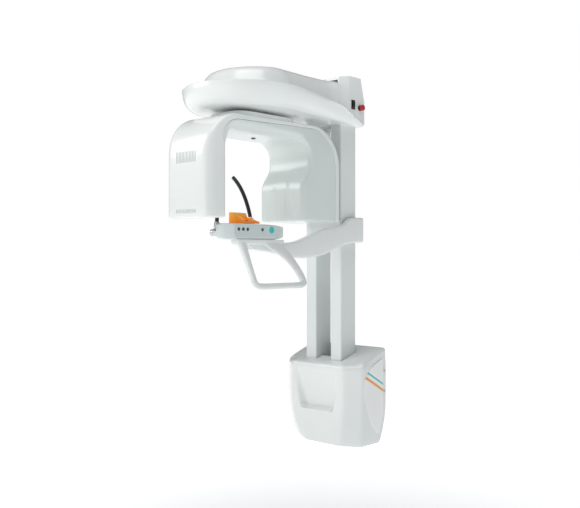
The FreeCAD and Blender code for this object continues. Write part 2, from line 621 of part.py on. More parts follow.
def carriage():
    reach = "axis_reach"
    plate = block(("-carriage_half", "carriage_half"), ("-axis_reach-carriage_front", "-axis_reach+carriage_back"),
                  ("carriage_low", "carriage_high"))
    bores = [rod("Y", "%s*rail_half" % s, "-axis_reach-200", "rail_level", "rail_radius+fit_play", "500")
             for s in (-1, 1)]
    seat = rod("Z", "0", "-" + reach, "carriage_low-1", "bearing_outside+fit_play/5", "60")
    spindle = rod("Z", "0", "-axis_reach+motor_reach", "carriage_low-1", "spindle_radius+1", "60")
    node(cut(plate, *bores, seat, spindle), "carriage_plate")
    hole = rod("Z", "0", "-" + reach, "carriage_low", "bearing_split+fit_play", "40")
    body = rod("Z", "0", "-" + reach, "carriage_low", "bearing_outside", "30")
    node(cut(body, hole), "bearing_outer")
    inner = rod("Z", "0", "-" + reach, "carriage_low", "bearing_split", "30")
    bore = rod("Z", "0", "-" + reach, "carriage_low-1", "journal+fit_play/5", "40")
    node(cut(inner, bore), "bearing_inner")
    can = rod("Z", "0", "-axis_reach+motor_reach", "carriage_high", "motor_radius-3", "40")
    can = rounded(can, "3", lambda m, t: m.z > num("carriage_high") + 30)
    node(can, "arch_motor")


def flip(point):
    return V(-point.x, point.y, point.z)


def belt_drive():
    """A flat belt round the arch's pulley and the motor's, which turns freely inside it."""
    low, high = num("pulley_low"), num("pulley_high")
    big, small = num("arch_pulley_radius+belt_play"), num("motor_pulley_radius+belt_play")
    reach = num("motor_reach")
    lean = math.acos((big - small) / reach)

    def loop(extra):
        top = V(0, -num("axis_reach"), low + 1)
        bottom = top + V(0, reach, 0)
        big_at = V((big + extra) * math.sin(lean), (big + extra) * math.cos(lean), 0)
        small_at = V((small + extra) * math.sin(lean), (small + extra) * math.cos(lean), 0)
        far = top + V(0, -(big + extra), 0)
        near = bottom + V(0, small + extra, 0)
        edges = [Part.Arc(top + big_at, far, top + flip(big_at)).toShape(),
                 Part.makeLine(top + flip(big_at), bottom + flip(small_at)),
                 Part.Arc(bottom + flip(small_at), near, bottom + small_at).toShape(),
                 Part.makeLine(bottom + small_at, top + big_at)]
        return Part.Face(Part.Wire(edges))

    belt = loop(num("belt_thick")).cut(loop(0)).extrude(V(0, 0, high - low - 2))
    node(solid_piece(belt), "drive_belt")
    pulley = rod("Z", "0", "-axis_reach+motor_reach", "pulley_low", "motor_pulley_radius", "pulley_high-pulley_low")
    spindle = rod("Z", "0", "-axis_reach+motor_reach", "pulley_high", "spindle_radius", "carriage_high-pulley_high-0.3")
    node(fused(pulley, spindle), "motor_pulley")


def arch_shaft():
    tube = rod("Z", "0", "-axis_reach", "arch_crown-6", "journal", "carriage_high+12-arch_crown+6")
    flange = rod("Z", "0", "-axis_reach", "arch_crown-6", "journal+34", "6")
    bore = rod("Z", "0", "-axis_reach", "arch_crown-10", "shaft_bore", "300")
    collar = rod("Z", "0", "-axis_reach", "carriage_high+1", "journal+10", "8")
    node(cut(fused(tube, flange, collar), bore), "arch_shaft")
    wheel = rod("Z", "0", "-axis_reach", "pulley_low", "arch_pulley_radius", "pulley_high-pulley_low")
    hub = rod("Z", "0", "-axis_reach", "pulley_low-1", "journal+fit_play/5", "40")
    node(cut(wheel, hub), "arch_pulley")


# ---------------------------------------------------------------- rotating arch

def arch_wire(x, grow):
    """The arch's outline across its beam, drawn in by grow: two legs under a low crown."""
    reach = num("axis_reach")
    front, rear = -num("arch_front") + grow, num("arch_rear") - grow
    inner_front, inner_rear = -num("arch_front_inner") - grow, num("arch_rear_inner") + grow
    upper = num("arch_rear_upper") + grow
    low, crown = num("arch_low") + grow, num("arch_crown") - grow
    ceiling = num("arch_ceiling") + grow
    corner, small = num("arch_corner") - grow, num("arch_inner_corner") + grow
    s0, s1 = num("arch_step_low"), num("arch_step_high")

    def at(v, z):
        return V(x, v - reach, z)

    lean = 1 - 1 / math.sqrt(2)
    steps = [
        ("line", at(front, low), at(front, crown - corner)),
        ("arc", at(front, crown - corner), at(front + corner * lean, crown - corner * lean), at(front + corner, crown)),
        ("line", at(front + corner, crown), at(rear - corner, crown)),
        ("arc", at(rear - corner, crown), at(rear - corner * lean, crown - corner * lean), at(rear, crown - corner)),
        ("line", at(rear, crown - corner), at(rear, low)),
        ("line", at(rear, low), at(inner_rear, low)),
        ("line", at(inner_rear, low), at(inner_rear, s0)),
        ("line", at(inner_rear, s0), at(upper, s1)),
        ("line", at(upper, s1), at(upper, ceiling - small)),
        ("arc", at(upper, ceiling - small), at(upper - small * lean, ceiling - small * lean),
         at(upper - small, ceiling)),
        ("line", at(upper - small, ceiling), at(inner_front + small, ceiling)),
        ("arc", at(inner_front + small, ceiling), at(inner_front + small * lean, ceiling - small * lean),
         at(inner_front, ceiling - small)),
        ("line", at(inner_front, ceiling - small), at(inner_front, low)),
        ("line", at(inner_front, low), at(front, low)),
    ]
    edges = []
    for step in steps:
        edges.append(Part.makeLine(*step[1:]) if step[0] == "line" else Part.Arc(*step[1:]).toShape())
    return Part.Wire(edges)


def on_outer_rim(edge, half):
    """True for the edges round the outside of the arch, legs and crown, on either face."""
    middle = edge.CenterOfMass
    away = middle.y + num("axis_reach")
    outside = middle.z > num("arch_ceiling") + 25
    legs = away < -num("arch_front") + 30 or away > num("arch_rear") - 30
    return abs(abs(middle.x) - half) < 0.01 and middle.z > num("arch_low") + 10 and (outside or legs)


def arch_solid(grow, round_by):
    half = num("arch_half") - grow
    body = Part.Face(arch_wire(-half, grow)).extrude(V(2 * half, 0, 0))
    if round_by:
        body = body.makeFillet(round_by, [e for e in body.Edges if on_outer_rim(e, half)])
    return body


def opening_zone(grow, half):
    """The space of the arch's opening, widened by grow, as a solid."""
    reach = num("axis_reach")
    front, rear, upper = num("arch_front_inner") + grow, num("arch_rear_inner") + grow, num("arch_rear_upper") + grow
    ceiling, low = num("arch_ceiling") + grow, num("arch_low") - 10
    ring = [(-front, low), (-front, ceiling), (upper, ceiling), (upper, num("arch_step_high")),
            (rear, num("arch_step_low")), (rear, low)]
    face = Part.Face(Part.makePolygon([V(-half, v - reach, z) for v, z in ring + ring[:1]]))
    return face.extrude(V(2 * half, 0, 0))


def arch_shells():
    """Outer shell and inner liner, parted round the opening."""
    round_by = num("arch_round")
    wall = num("arch_wall")
    full = arch_solid(0, round_by).cut(arch_solid(wall, round_by - wall))
    neck_hole = Part.makeCylinder(num("journal") + 42, 60, V(0, -num("axis_reach"), num("arch_crown") - 50))
    full = full.cut(neck_hole)
    half = num("arch_half") + 5
    liner = full.common(opening_zone(num("liner_deep"), half))
    outer = full.cut(opening_zone(num("liner_deep") + num("seam"), half))
    reach, front = num("axis_reach"), num("arch_front")
    slots = []
    pitch = num("vent_pitch")
    for level, high in (("vent_level", "vent_high"), ("vent_low_level", "vent_low_high")):
        z, tall, wide = num(level), num(high), num("vent_half")
        count = int(2 * wide / pitch)
        for i in range(count):
            x = -wide + pitch * (i + 0.5)
            slots.append(Part.makeBox(num("vent_slot"), 14, tall, V(x - num("vent_slot") / 2, -reach - front - 5, z)))
    outer = outer.cut(slots[0].multiFuse(slots[1:]))
    window = Part.makeBox(64, 30, 120, V(-32, -reach - num("arch_front_inner") - 18, 720))
    port = Part.makeBox(40, 30, 100, V(-20, -reach + num("arch_rear_inner") - 8, 700))
    eye = Part.makeCylinder(8.3, 30, V(0, -reach + 20, num("arch_ceiling") - 10))
    liner = liner.cut(window.fuse(port).fuse(eye))
    node(solid_piece(max(outer.Solids, key=lambda one: one.Volume)), "arch_outer_shell")
    node(solid_piece(max(liner.Solids, key=lambda one: one.Volume)), "arch_inner_liner")


def neck_ring():
    """The raised platform that closes the arch's top round the shaft."""
    low, high = num("arch_crown") - 3, num("neck_top")
    y0, y1 = -num("axis_reach") - num("neck_front"), -num("axis_reach") + num("neck_back")
    half = num("neck_half")
    body = Part.makeBox(2 * half, y1 - y0, high - low, V(-half, y0, low))
    body = body.makeFillet(num("neck_half") * 0.6, [e for e in body.Edges if abs(e.tangentAt(0).z) > 0.9])
    body = body.cut(arch_solid(0, 0))
    inner = Part.makeBox(2 * half - 12, y1 - y0 - 12, high - low, V(-half + 6, y0 + 6, low - 4))
    body = body.cut(inner)
    body = body.cut(Part.makeCylinder(num("journal") + 1, 60, V(0, -num("axis_reach"), low - 10)))
    node(solid_piece(max(body.Solids, key=lambda one: one.Volume)), "neck_ring")


def arch_frame():
    """Bent-plate yoke inside the shell, hung from the shaft's flange."""
    y0, y1 = "-axis_reach-yoke_front", "-axis_reach+yoke_rear"
    x, under = ("-yoke_half", "yoke_half"), "arch_ceiling+arch_wall+2"
    spine = block(x, (y0, y1), (under, under + "+yoke_plate"))
    hub = rod("Z", "0", "-axis_reach", under + "+yoke_plate", "journal+30", "arch_crown-6-(%s+yoke_plate)" % under)
    bore = rod("Z", "0", "-axis_reach", "arch_ceiling", "shaft_bore", "200")
    front = block(x, (y0, y0 + "+yoke_plate"), ("arch_low+30", under))
    rear = block(x, (y1 + "-yoke_plate", y1), ("arch_low+30", under))
    node(cut(fused(spine, hub, front, rear), bore), "arch_frame")


def arch_inside():
    """Source tank with its collimator in the rear leg, sensor in the front leg."""
    rear = "-axis_reach+yoke_rear-yoke_plate"
    tank = block(("-80", "80"), (rear + "-tank_deep", rear), ("arch_low+24", "arch_low+24+tank_high"))
    node(rounded(tank, "10", lambda m, t: abs(t.z) > 0.9), "source_tank")
    collimator = block(("-30", "30"), (rear + "-tank_deep-24", rear + "-tank_deep"), ("arch_low+54", "arch_low+114"))
    slit = block(("-3", "3"), (rear + "-tank_deep-25", rear + "-tank_deep+1"), ("arch_low+62", "arch_low+106"))
    node(cut(collimator, slit), "collimator")
    front = "-axis_reach-yoke_front+yoke_plate"
    sensor = block(("-60", "60"), (front, front + "+18"), ("arch_low+30", "arch_low+190"))
    node(rounded(sensor, "4", lambda m, t: abs(t.y) < 0.1), "sensor_module")
    face = "-axis_reach-arch_front_inner"
    window = block(("-31.7", "31.7"), (face + "-arch_wall", face), ("720.3", "839.7"))
    face = "-axis_reach+arch_rear_inner"
    port = block(("-19.7", "19.7"), (face, face + "+arch_wall"), ("700.3", "799.7"))
    node(group(window, port), "beam_windows")
    inside = arch_solid(num("arch_wall"), num("arch_round") - num("arch_wall"))
    backs = []
    for level, high in (("vent_level", "vent_high"), ("vent_low_level", "vent_low_high")):
        wide, y = num("vent_half") + 4, -num("axis_reach+arch_front-arch_wall")
        plate = Part.makeBox(2 * wide, 6, num(high) + 8, V(-wide, y - 1, num(level) - 4))
        backs.append(solid_piece(plate.common(inside)))
    node(group(*backs), "vent_screens")
    body = rod("Z", "0", "-axis_reach+20", "arch_ceiling-3", "8", "8")
    node(rounded(body, "1", lambda m, t: m.z < num("arch_ceiling")), "positioning_laser")


# ---------------------------------------------------------------- patient support

BOOM = [(120, -50, 602, 700, 1.0), (120, -120, 598, 696, 1.0), (119, -176, 588, 668, 1.0),
        (116, -300, 550, 646, 1.0), (102, -420, 542, 602, 1.25), (76, -520, 562, 599, 1.7),
        (64, -610, 574, 602, 2.2)]


def boom_section(x, y, low, high, share, turn):
    """One rounded cross-section of the boom, square to its run."""
    half = num("boom_thick") * share / 2
    tall = (high - low) / 2
    bevel = min(half, tall) * 0.55
    side = [(half - bevel, tall), (half, tall - bevel * 1.6), (half, -tall + bevel), (half - bevel, -tall),
            (-half + bevel, -tall), (-half, -tall + bevel), (-half, tall - bevel), (-half + bevel, tall)]
    across = V(math.cos(turn), math.sin(turn), 0)
    centre = V(x - half, y, (low + high) / 2)
    ring = [centre + across * a + V(0, 0, b) for a, b in side]
    return Part.makePolygon(ring + ring[:1])


def support_boom():
    """Cast boom that runs from the column's side to under the panel."""
    turns = [0, 0, 0.02, -0.02, -0.18, -0.3, -0.35]
    wires = [boom_section(*station, turn) for station, turn in zip(BOOM, turns)]
    body = Part.makeLoft(wires, True, False)
    foot = Part.makeBox(40, 90, 24, V(18, -num("patient_reach") - 40, num("panel_low") - 24))
    side = num(COL_HALF)
    column = Part.makeBox(2 * side, num("post_deep"), 300, V(-side, -num("post_front"), 500))
    body = body.fuse(foot).cut(column)
    node(solid_piece(max(body.Solids, key=lambda one: one.Volume)), "support_boom")


def support_plate():
    """Bracket bolted across both posts, that carries the boom."""
    level = ("bracket_low", "bracket_high")
    front = block(("-post_gap/2", "bracket_right"), ("-post_front-10", "-post_front"), level)
    core = block(("-post_gap/2", "post_gap/2"), ("-post_front", "-post_front+30"), (level[0] + "+6", level[1] + "-6"))
    node(fused(front, core), "support_plate")


def panel_ring(x0, x1, wall):
    """The panel's plan outline between two depths, drawn in by its wall."""
    middle, half = "-patient_reach", "panel_half-" + wall
    knee = "panel_face-panel_corner"
    face_half = "panel_half-panel_cheek-" + wall
    return [(x0, "%s-(%s)" % (middle, half)), (knee, "%s-(%s)" % (middle, half)),
            (x1, "%s-(%s)" % (middle, face_half)), (x1, "%s+(%s)" % (middle, face_half)),
            (knee, "%s+(%s)" % (middle, half)), (x0, "%s+(%s)" % (middle, half))]


def panel_shells():
    """Key panel in two shells, parted behind its face, with the film that carries the key marks."""
    whole = padded_outline("XY", panel_ring("panel_back", "panel_face", "0"), "panel_low", "panel_high")
    hollow = padded_outline("XY", panel_ring("panel_back+panel_wall", "panel_face-panel_wall", "panel_wall"),
                            "panel_low+panel_wall", "panel_high-panel_wall")
    DOC.recompute()
    shell = whole.Shape.cut(hollow.Shape)
    split, middle = num("panel_split"), -num("patient_reach")
    front = shell.common(Part.makeBox(200, 600, 300, V(split + 0.15, middle - 300, 500)))
    back = shell.common(Part.makeBox(200, 600, 300, V(split - 0.15 - 200, middle - 300, 500)))
    half = num("panel_half-panel_cheek") - 4
    film = Part.makeBox(num("film_thick"), 2 * half, num("panel_high-panel_low") - 10,
                        V(num("panel_face"), middle - half, num("panel_low") + 5))
    for y, r in KEYS.values():
        hole = Part.makeCylinder(num(r) + num("key_play"), 30, V(num("panel_face") - 15, y, num("key_level")),
                                 V(1, 0, 0))
        front, film = front.cut(hole), film.cut(hole)
    node(solid_piece(front), "panel_front")
    node(solid_piece(back), "panel_back")
    lamp = Part.makeCylinder(num("key_radius") - 1, 1.2, V(num("panel_face+film_thick"), LAMP_REACH, num("key_level")),
                             V(1, 0, 0))
    node(solid_piece(film.fuse(lamp).removeSplitter()), "keypad_film")


LAMP_REACH = -614
KEYS = {"key_up": (-698, "key_radius"), "key_down": (-677, "key_radius"), "key_mode": (-656, "key_radius"),
        "key_reset": (-584, "key_radius"), "start_key": (-538, "start_radius")}


def keys():
    for name, (y, r) in KEYS.items():
        cap = rod("X", "panel_face-panel_wall-2", str(y), "key_level", r, "panel_wall+2+key_proud")
        cap = rounded(cap, "1", lambda m, t: m.x > num("panel_face") + 2)
        flange = rod("X", "panel_face-panel_wall-4", str(y), "key_level", r + "+2", "2")
        node(fused(cap, flange), name)


def handle():
    """Loop handle, wider and further out at its grip, hung from the panel's underside."""
    mid = -num("patient_reach")
    top_z, low_z = num("panel_low") - 8, num("handle_low")
    top_x, low_x = num("handle_top_x"), num("handle_low_x")
    top_half, low_half = num("handle_top_half"), num("handle_low_half")
    corners = [V(top_x, mid - top_half, top_z), V(low_x, mid - low_half, low_z), V(low_x, mid + low_half, low_z),
               V(top_x, mid + top_half, top_z)]
    bend = num("handle_bend")
    edges = []
    start = corners[0]
    for i in (1, 2):
        before, here, after = corners[i - 1], corners[i], corners[i + 1]
        into, out = (here - before).normalize(), (after - here).normalize()
        half_turn = into.getAngle(out) / 2
        reach = bend * math.tan(half_turn)
        first, last = here - into * reach, here + out * reach
        bisector = (out - into).normalize()
        centre = here + bisector * (bend / math.cos(half_turn))
        edges.append(Part.makeLine(start, first))
        edges.append(Part.Arc(first, centre - bisector * bend, last).toShape())
        start = last
    edges.append(Part.makeLine(start, corners[3]))
    path = Part.Wire(edges)
    along = (corners[1] - corners[0]).normalize()
    profile = Part.Wire(Part.Ellipse(V(), num("handle_wide") / 2, num("handle_deep") / 2).toShape())
    profile.Placement = FreeCAD.Placement(corners[0], FreeCAD.Rotation(V(0, 0, 1), along))
    loop = path.makePipeShell([profile], True, False)
    bridge = Part.makeBox(18, 2 * top_half + 24, 14, V(top_x - 10, mid - top_half - 12, num("panel_low") - 14))
    bridge = bridge.makeFillet(4, [e for e in bridge.Edges if abs(e.tangentAt(0).y) > 0.9])
    body = loop.fuse(bridge)
    body = body.cut(Part.makeBox(200, 600, 60, V(-50, mid - 300, num("panel_low"))))
    node(solid_piece(max(body.Solids, key=lambda one: one.Volume)), "handle")


def chin_rest():
    """Lift-off rest with a cupped top, tall at the back and thin towards the key panel."""
    mid, low = -num("patient_reach"), num("panel_high+chin_gap")
    back, long, high = num("chin_back"), num("chin_long"), num("chin_high")
    side = [(0, 0), (0, high), (20, high - 2), (30, high * 0.5), (52, high * 0.6), (66, high * 0.32),
            (long, high * 0.16), (long, 0)]
    ring = [V(back + x, mid - num("chin_half"), low + z) for x, z in side]
    body = Part.Face(Part.makePolygon(ring + ring[:1])).extrude(V(0, 2 * num("chin_half"), 0))
    cup = Part.makeCylinder(24, 60, V(back + 40, mid, low + 32), V(1, 0, 0))
    body = body.cut(cup)
    x = num("chin_stem_x")
    stem = Part.makeCylinder(num("chin_stem"), 22, V(x, mid, low - 20))
    seat = Part.makeCylinder(num("chin_stem") + 5, num("chin_gap"), V(x, mid, num("panel_high")))
    node(solid_piece(body.fuse([stem, seat]).removeSplitter()), "chin_rest")


def temple_points(side):
    """The rod's line from its socket to its tip, on one side of the head."""
    mid = -num("patient_reach")
    offsets = [(-36, 86, 650), (-39, 80, 700), (-50, 72, 750), (-70, 66, 795), (-94, 61, 828), (-107, 60, 840)]
    return [V(x, mid + side * d, z) for x, d, z in offsets]


def temple_rests():
    """A curved rod each side of the head, in a socket that turns on the carrier's pin."""
    mid = -num("patient_reach")
    radius = num("temple_rod")
    for name, side in (("front", -1), ("rear", 1)):
        line = Part.BSplineCurve()
        points = temple_points(side)
        line.interpolate(points)
        path = Part.Wire([line.toShape()])
        start = line.tangent(line.FirstParameter)[0]
        tube = path.makePipeShell([Part.Wire(Part.makeCircle(radius, points[0], start))], True, False)
        node(solid_piece(tube), "temple_rod_" + name)
        x, z = num("temple_x"), num("temple_level")
        hub_y = mid + side * num("temple_spread")
        hub = Part.makeCylinder(12, 16, V(x - 8, hub_y, z), V(1, 0, 0))
        sleeve = Part.makeCylinder(radius + 2.5, 28, points[0] - start * 8, start)
        body = hub.fuse(sleeve)
        body = body.cut(Part.makeCylinder(num("temple_pin") + num("fit_play"), 40, V(x - 20, hub_y, z), V(1, 0, 0)))
        body = body.cut(tube)
        node(solid_piece(max(body.Solids, key=lambda one: one.Volume)), "temple_socket_" + name)


def rest_carrier():
    """Bar behind the panel with the two pins that the temple rests turn on."""
    mid = -num("patient_reach")
    x, z, spread = num("temple_x"), num("temple_level"), num("temple_spread")
    face = x + 8.3
    body = Part.makeBox(num("panel_back") - face, 2 * spread + 20, 17, V(face, mid - spread - 10, z - 11))
    tray = Part.makeBox(num("panel_back") - face, 2 * num("tray_half"), num("panel_high") - z,
                        V(face, mid - num("tray_half"), z))
    stem = Part.makeCylinder(num("chin_stem") + 0.3, 30, V(num("chin_stem_x"), mid, num("panel_high") - 20))
    body = body.fuse(tray).cut(stem)
    for side in (-1, 1):
        y = mid + side * spread
        body = body.fuse(Part.makeCylinder(num("temple_pin"), 20, V(x - 11.6, y, z), V(1, 0, 0)))
        body = body.fuse(Part.makeCylinder(8, 3, V(x - 11.3, y, z), V(1, 0, 0)))
    node(solid_piece(body.removeSplitter()), "rest_carrier")


def build():
    wall_plate()
    guide_frame()
    guide_pads()
    lift_drive()
    lift_pinion()
    lower_cover()
    side_trims()
    lower_unit_inside()
    posts()
    column_ends()
    lift_rack()
    overhead_beam()
    overhead_bowl()
    overhead_lid()
    head_cover()
    head_controls()
    carriage()
    belt_drive()
    arch_shaft()
    arch_shells()
    neck_ring()
    arch_frame()
    arch_inside()
    support_plate()
    support_boom()
    panel_shells()
    keys()
    handle()
    chin_rest()
    rest_carrier()
    temple_rests()


def check_and_export():
    """Stop on any failed object or shape, then write each piece's file."""
    DOC.recompute()
    failed = [o.Name for o in DOC.Objects if "Invalid" in o.State or "Error" in o.State]
    if failed:
        raise RuntimeError("failed objects: %s" % failed)
    for piece in NODES:
        shape = piece.Shape
        if shape.isNull() or not shape.isValid() or not shape.Solids:
            raise RuntimeError("bad shape: " + piece.Label)
    os.makedirs("parts", exist_ok=True)
    for piece in NODES:
        piece.Shape.exportStep("parts/%s.step" % piece.Label)
        print(piece.Label, len(piece.Shape.Solids), round(piece.Shape.Volume / 1000, 1))


build()
check_and_export()
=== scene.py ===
"""Looks of a wall-hung panoramic dental X-ray unit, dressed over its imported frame.

The frame's bodies and hardware stay as they are and get their finishes here. The drive unit's cover, the
arch, the overhead, the boom, the key panel and the handle are modelled afresh over their nodes.
Lengths are in metres: X to the right along the wall, Y into the wall, Z up.
"""

import json
import math

import bmesh
import bpy
import numpy as np
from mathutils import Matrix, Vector


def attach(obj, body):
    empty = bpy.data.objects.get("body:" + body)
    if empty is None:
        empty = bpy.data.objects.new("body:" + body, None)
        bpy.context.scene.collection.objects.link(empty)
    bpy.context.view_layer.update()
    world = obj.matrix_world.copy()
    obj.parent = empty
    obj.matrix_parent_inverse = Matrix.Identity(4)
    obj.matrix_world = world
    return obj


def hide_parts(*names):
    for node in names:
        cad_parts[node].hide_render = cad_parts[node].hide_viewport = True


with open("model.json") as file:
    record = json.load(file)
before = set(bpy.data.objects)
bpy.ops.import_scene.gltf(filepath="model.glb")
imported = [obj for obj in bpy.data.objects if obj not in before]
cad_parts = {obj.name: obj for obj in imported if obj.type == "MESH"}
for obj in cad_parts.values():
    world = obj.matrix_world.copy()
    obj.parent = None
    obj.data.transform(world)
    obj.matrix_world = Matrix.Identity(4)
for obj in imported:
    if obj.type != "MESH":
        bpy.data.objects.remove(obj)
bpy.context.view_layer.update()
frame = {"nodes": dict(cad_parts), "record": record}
SCENE = bpy.context.scene

# ------------------------------------------------------------------ sizes shared by several pieces

ARM_AXIS = -0.56                 # the line that the arch turns about, measured from the wall
ARCH_HALF = 0.110                # half of the arch's width along the wall
CROWN, CEILING, LEG_END = 1.034, 0.975, 0.678
POST_OUT, POST_IN = 0.091, 0.037              # the posts' faces, either side of the middle
POST_FRONT, POST_BACK = -0.153, -0.061
UNDER_PANEL = 0.606              # underside of the key panel
STEPS = 5                        # points on each rounded corner


# ------------------------------------------------------------------ mesh making

def mesh_piece(name, points, faces, sharp=32):
    """A smooth-shaded piece from points and faces; edges over the sharp angle stay crisp."""
    mesh = bpy.data.meshes.new(name)
    mesh.from_pydata([tuple(p) for p in points], [], faces)
    tidy = bmesh.new()
    tidy.from_mesh(mesh)
    bmesh.ops.remove_doubles(tidy, verts=tidy.verts, dist=1e-6)
    bmesh.ops.recalc_face_normals(tidy, faces=tidy.faces)
    tidy.to_mesh(mesh)
    tidy.free()
    mesh.shade_smooth()
    mesh.set_sharp_from_angle(angle=math.radians(sharp))
    piece = bpy.data.objects.new(name, mesh)
    SCENE.collection.objects.link(piece)
    return piece


def lofted(name, rings, cap_first=True, cap_last=True, sharp=32):
    """A skin of quads through closed rings that all have the same number of points."""
    count = len(rings[0])
    points = [p for ring in rings for p in ring]
    faces = []
    for low in range(len(rings) - 1):
        for i in range(count):
            j = (i + 1) % count
            faces.append((low * count + i, low * count + j, (low + 1) * count + j, (low + 1) * count + i))
    if cap_first:
        faces.append(tuple(range(count))[::-1])
    if cap_last:
        last = (len(rings) - 1) * count
        faces.append(tuple(range(last, last + count)))
    return mesh_piece(name, points, faces, sharp)


def rounded_outline(corners, radii, steps=STEPS):
    """A closed flat outline with each corner turned on its own radius, always with the same point count."""
    out = []
    count = len(corners)
    for i, (corner, radius) in enumerate(zip(corners, radii)):
        here = np.array(corner, float)
        into = here - np.array(corners[i - 1], float)
        away = np.array(corners[(i + 1) % count], float) - here
        room = 0.49 * min(np.linalg.norm(into), np.linalg.norm(away))
        into, away = into / np.linalg.norm(into), away / np.linalg.norm(away)
        turn = math.acos(max(-1.0, min(1.0, float(into @ away))))
        reach = min(radius * math.tan(turn / 2), room) if turn > 1e-4 else 1e-4
        first, last = here - into * reach, here + away * reach
        for step in range(steps + 1):
            t = step / steps
            out.append(tuple((1 - t) ** 2 * first + 2 * t * (1 - t) * here + t ** 2 * last))
    return out


def radial_outline(outline, centre, count):
    """Where evenly turned rays from centre meet a closed outline round it."""
    ring = np.array(outline, float) - np.array(centre, float)
    ends = np.roll(ring, -1, axis=0)
    out = []
    for step in range(count):
        angle = 2 * math.pi * (step + 0.5) / count
        ray = np.array([math.cos(angle), math.sin(angle)])
        run = ends - ring
        cross = ray[0] * run[:, 1] - ray[1] * run[:, 0]
        cross[np.abs(cross) < 1e-12] = 1e-12
        far = (ring[:, 0] * run[:, 1] - ring[:, 1] * run[:, 0]) / cross
        share = (ring[:, 0] * ray[1] - ring[:, 1] * ray[0]) / cross
        hits = far[(share >= -1e-9) & (share <= 1 + 1e-9) & (far > 0)]
        out.append(tuple(np.array(centre) + ray * hits.max()))
    return out


def place(piece, body, slot, *nodes):
    """Fix a piece to its body, name its material slot, and hide the nodes that it stands for."""
    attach(piece, body)
    if nodes:
        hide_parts(*nodes)
    piece.data.materials.append(FINISHES[slot])
    return piece


def smooth_step(low, high, value):
    t = np.clip((value - low) / (high - low), 0, 1)
    return t * t * (3 - 2 * t)


# ------------------------------------------------------------------ shader writing

class Field:
    """An output socket of one material's node tree; arithmetic on it adds Math nodes."""

    def __init__(self, tree, socket):
        self.tree, self.socket = tree, socket

    def math(self, operation, *values):
        node = self.tree.nodes.new("ShaderNodeMath")
        node.operation = operation
        for socket, value in zip(node.inputs, values):
            join(self.tree, socket, value)
        return Field(self.tree, node.outputs[0])

    def __add__(self, other):
        return self.math("ADD", self, other)

    def __radd__(self, other):
        return self.math("ADD", other, self)

    def __sub__(self, other):
        return self.math("SUBTRACT", self, other)

    def __rsub__(self, other):
        return self.math("SUBTRACT", other, self)

    def __mul__(self, other):
        return self.math("MULTIPLY", self, other)

    def __rmul__(self, other):
        return self.math("MULTIPLY", other, self)

    def __truediv__(self, other):
        return self.math("DIVIDE", self, other)

    def __rtruediv__(self, other):
        return self.math("DIVIDE", other, self)

    def __neg__(self):
        return self.math("MULTIPLY", self, -1)


def join(tree, socket, value):
    """Link a field to a socket, or set the socket's own value."""
    if isinstance(value, Field):
        tree.links.new(value.socket, socket)
    elif isinstance(value, (tuple, list)) and len(value) == 3 and socket.type == "RGBA":
        socket.default_value = (*value, 1)
    else:
        socket.default_value = value


class Finish:
    """One material: its node tree, its Principled shader, and the one way that nodes are added to it."""

    def __init__(self, name, colour, roughness, metallic=0.0, coat=0.0):
        self.material = bpy.data.materials.new(name)
        self.material.use_nodes = True
        self.tree = self.material.node_tree
        self.shader = self.tree.nodes["Principled BSDF"]
        self.set(base_color=colour, roughness=roughness, metallic=metallic, coat_weight=coat)
        self.place = self.add("ShaderNodeTexCoord").output("Object")

    def add(self, kind, settings=None, **inputs):
        """Add a node: its settings first, then the values or links of its sockets."""
        node = self.tree.nodes.new(kind)
        for name, value in (settings or {}).items():
            if name == "stops":
                for stop, (at, shade) in zip(node.color_ramp.elements, value):
                    stop.position, stop.color = at, (shade, shade, shade, 1)
            else:
                setattr(node, name, value)
        for name, value in inputs.items():
            join(self.tree, socket_named(node, name), value)
        return Added(self, node)

    def set(self, **inputs):
        for name, value in inputs.items():
            join(self.tree, socket_named(self.shader, name), value)

    def noise(self, scale, detail=2.0, at=None):
        cloud = self.add("ShaderNodeTexNoise", vector=at or self.place, scale=scale, detail=detail)
        return cloud.output("Fac")

    def axes(self):
        split = self.add("ShaderNodeSeparateXYZ", vector=self.place)
        return split.output("X"), split.output("Y"), split.output("Z")

    def blend(self, share, first, second):
        mix = self.add("ShaderNodeMix", {"data_type": "RGBA"},
                       factor_float=share, a_color=first, b_color=second)
        return Field(self.tree, mix.node.outputs[2])

    def relief(self, height, depth, strength=0.4):
        """Bump from a height field, in metres of depth."""
        bump = self.add("ShaderNodeBump", strength=strength, distance=depth, height=height)
        self.set(normal=bump.output("Normal"))


class Added:
    """A node just added, so that its outputs can be asked for by name."""

    def __init__(self, finish, node):
        self.finish, self.node = finish, node

    def output(self, name):
        return Field(self.finish.tree, self.node.outputs[name])


SOCKETS = {"factor_float": 0, "a_color": 6, "b_color": 7}


def socket_named(node, name):
    """An input by its spoken name, such as base_color for Base Color."""
    if name in SOCKETS:
        return node.inputs[SOCKETS[name]]
    for socket in node.inputs:
        if socket.name.lower().replace(" ", "_") == name:
            return socket
    raise KeyError(name)


def tinted(colour, share):
    return tuple(min(1.0, part * share) for part in colour)


# ------------------------------------------------------------------ finishes

def moulded(name, colour, roughness, coat=0.0, grain=1600, dirt=0.0):
    """Injection-moulded plastic: a faint orange peel, cloudy tone, uneven gloss, patchy grime if asked."""
    finish = Finish(name, colour, roughness, coat=coat)
    cloud = finish.noise(6, 4)
    speck = finish.noise(grain, 2)
    shade = finish.blend(cloud, tinted(colour, 0.955), tinted(colour, 1.02))
    if dirt:
        smudge = finish.noise(38, 5) * cloud * dirt
        shade = finish.blend(smudge, shade, tinted(colour, 0.72))
    finish.set(base_color=shade, roughness=roughness - 0.05 + cloud * 0.07 + speck * 0.03)
    finish.relief(speck + finish.noise(220, 1) * 2, 0.00012, 0.22)
    return finish.material


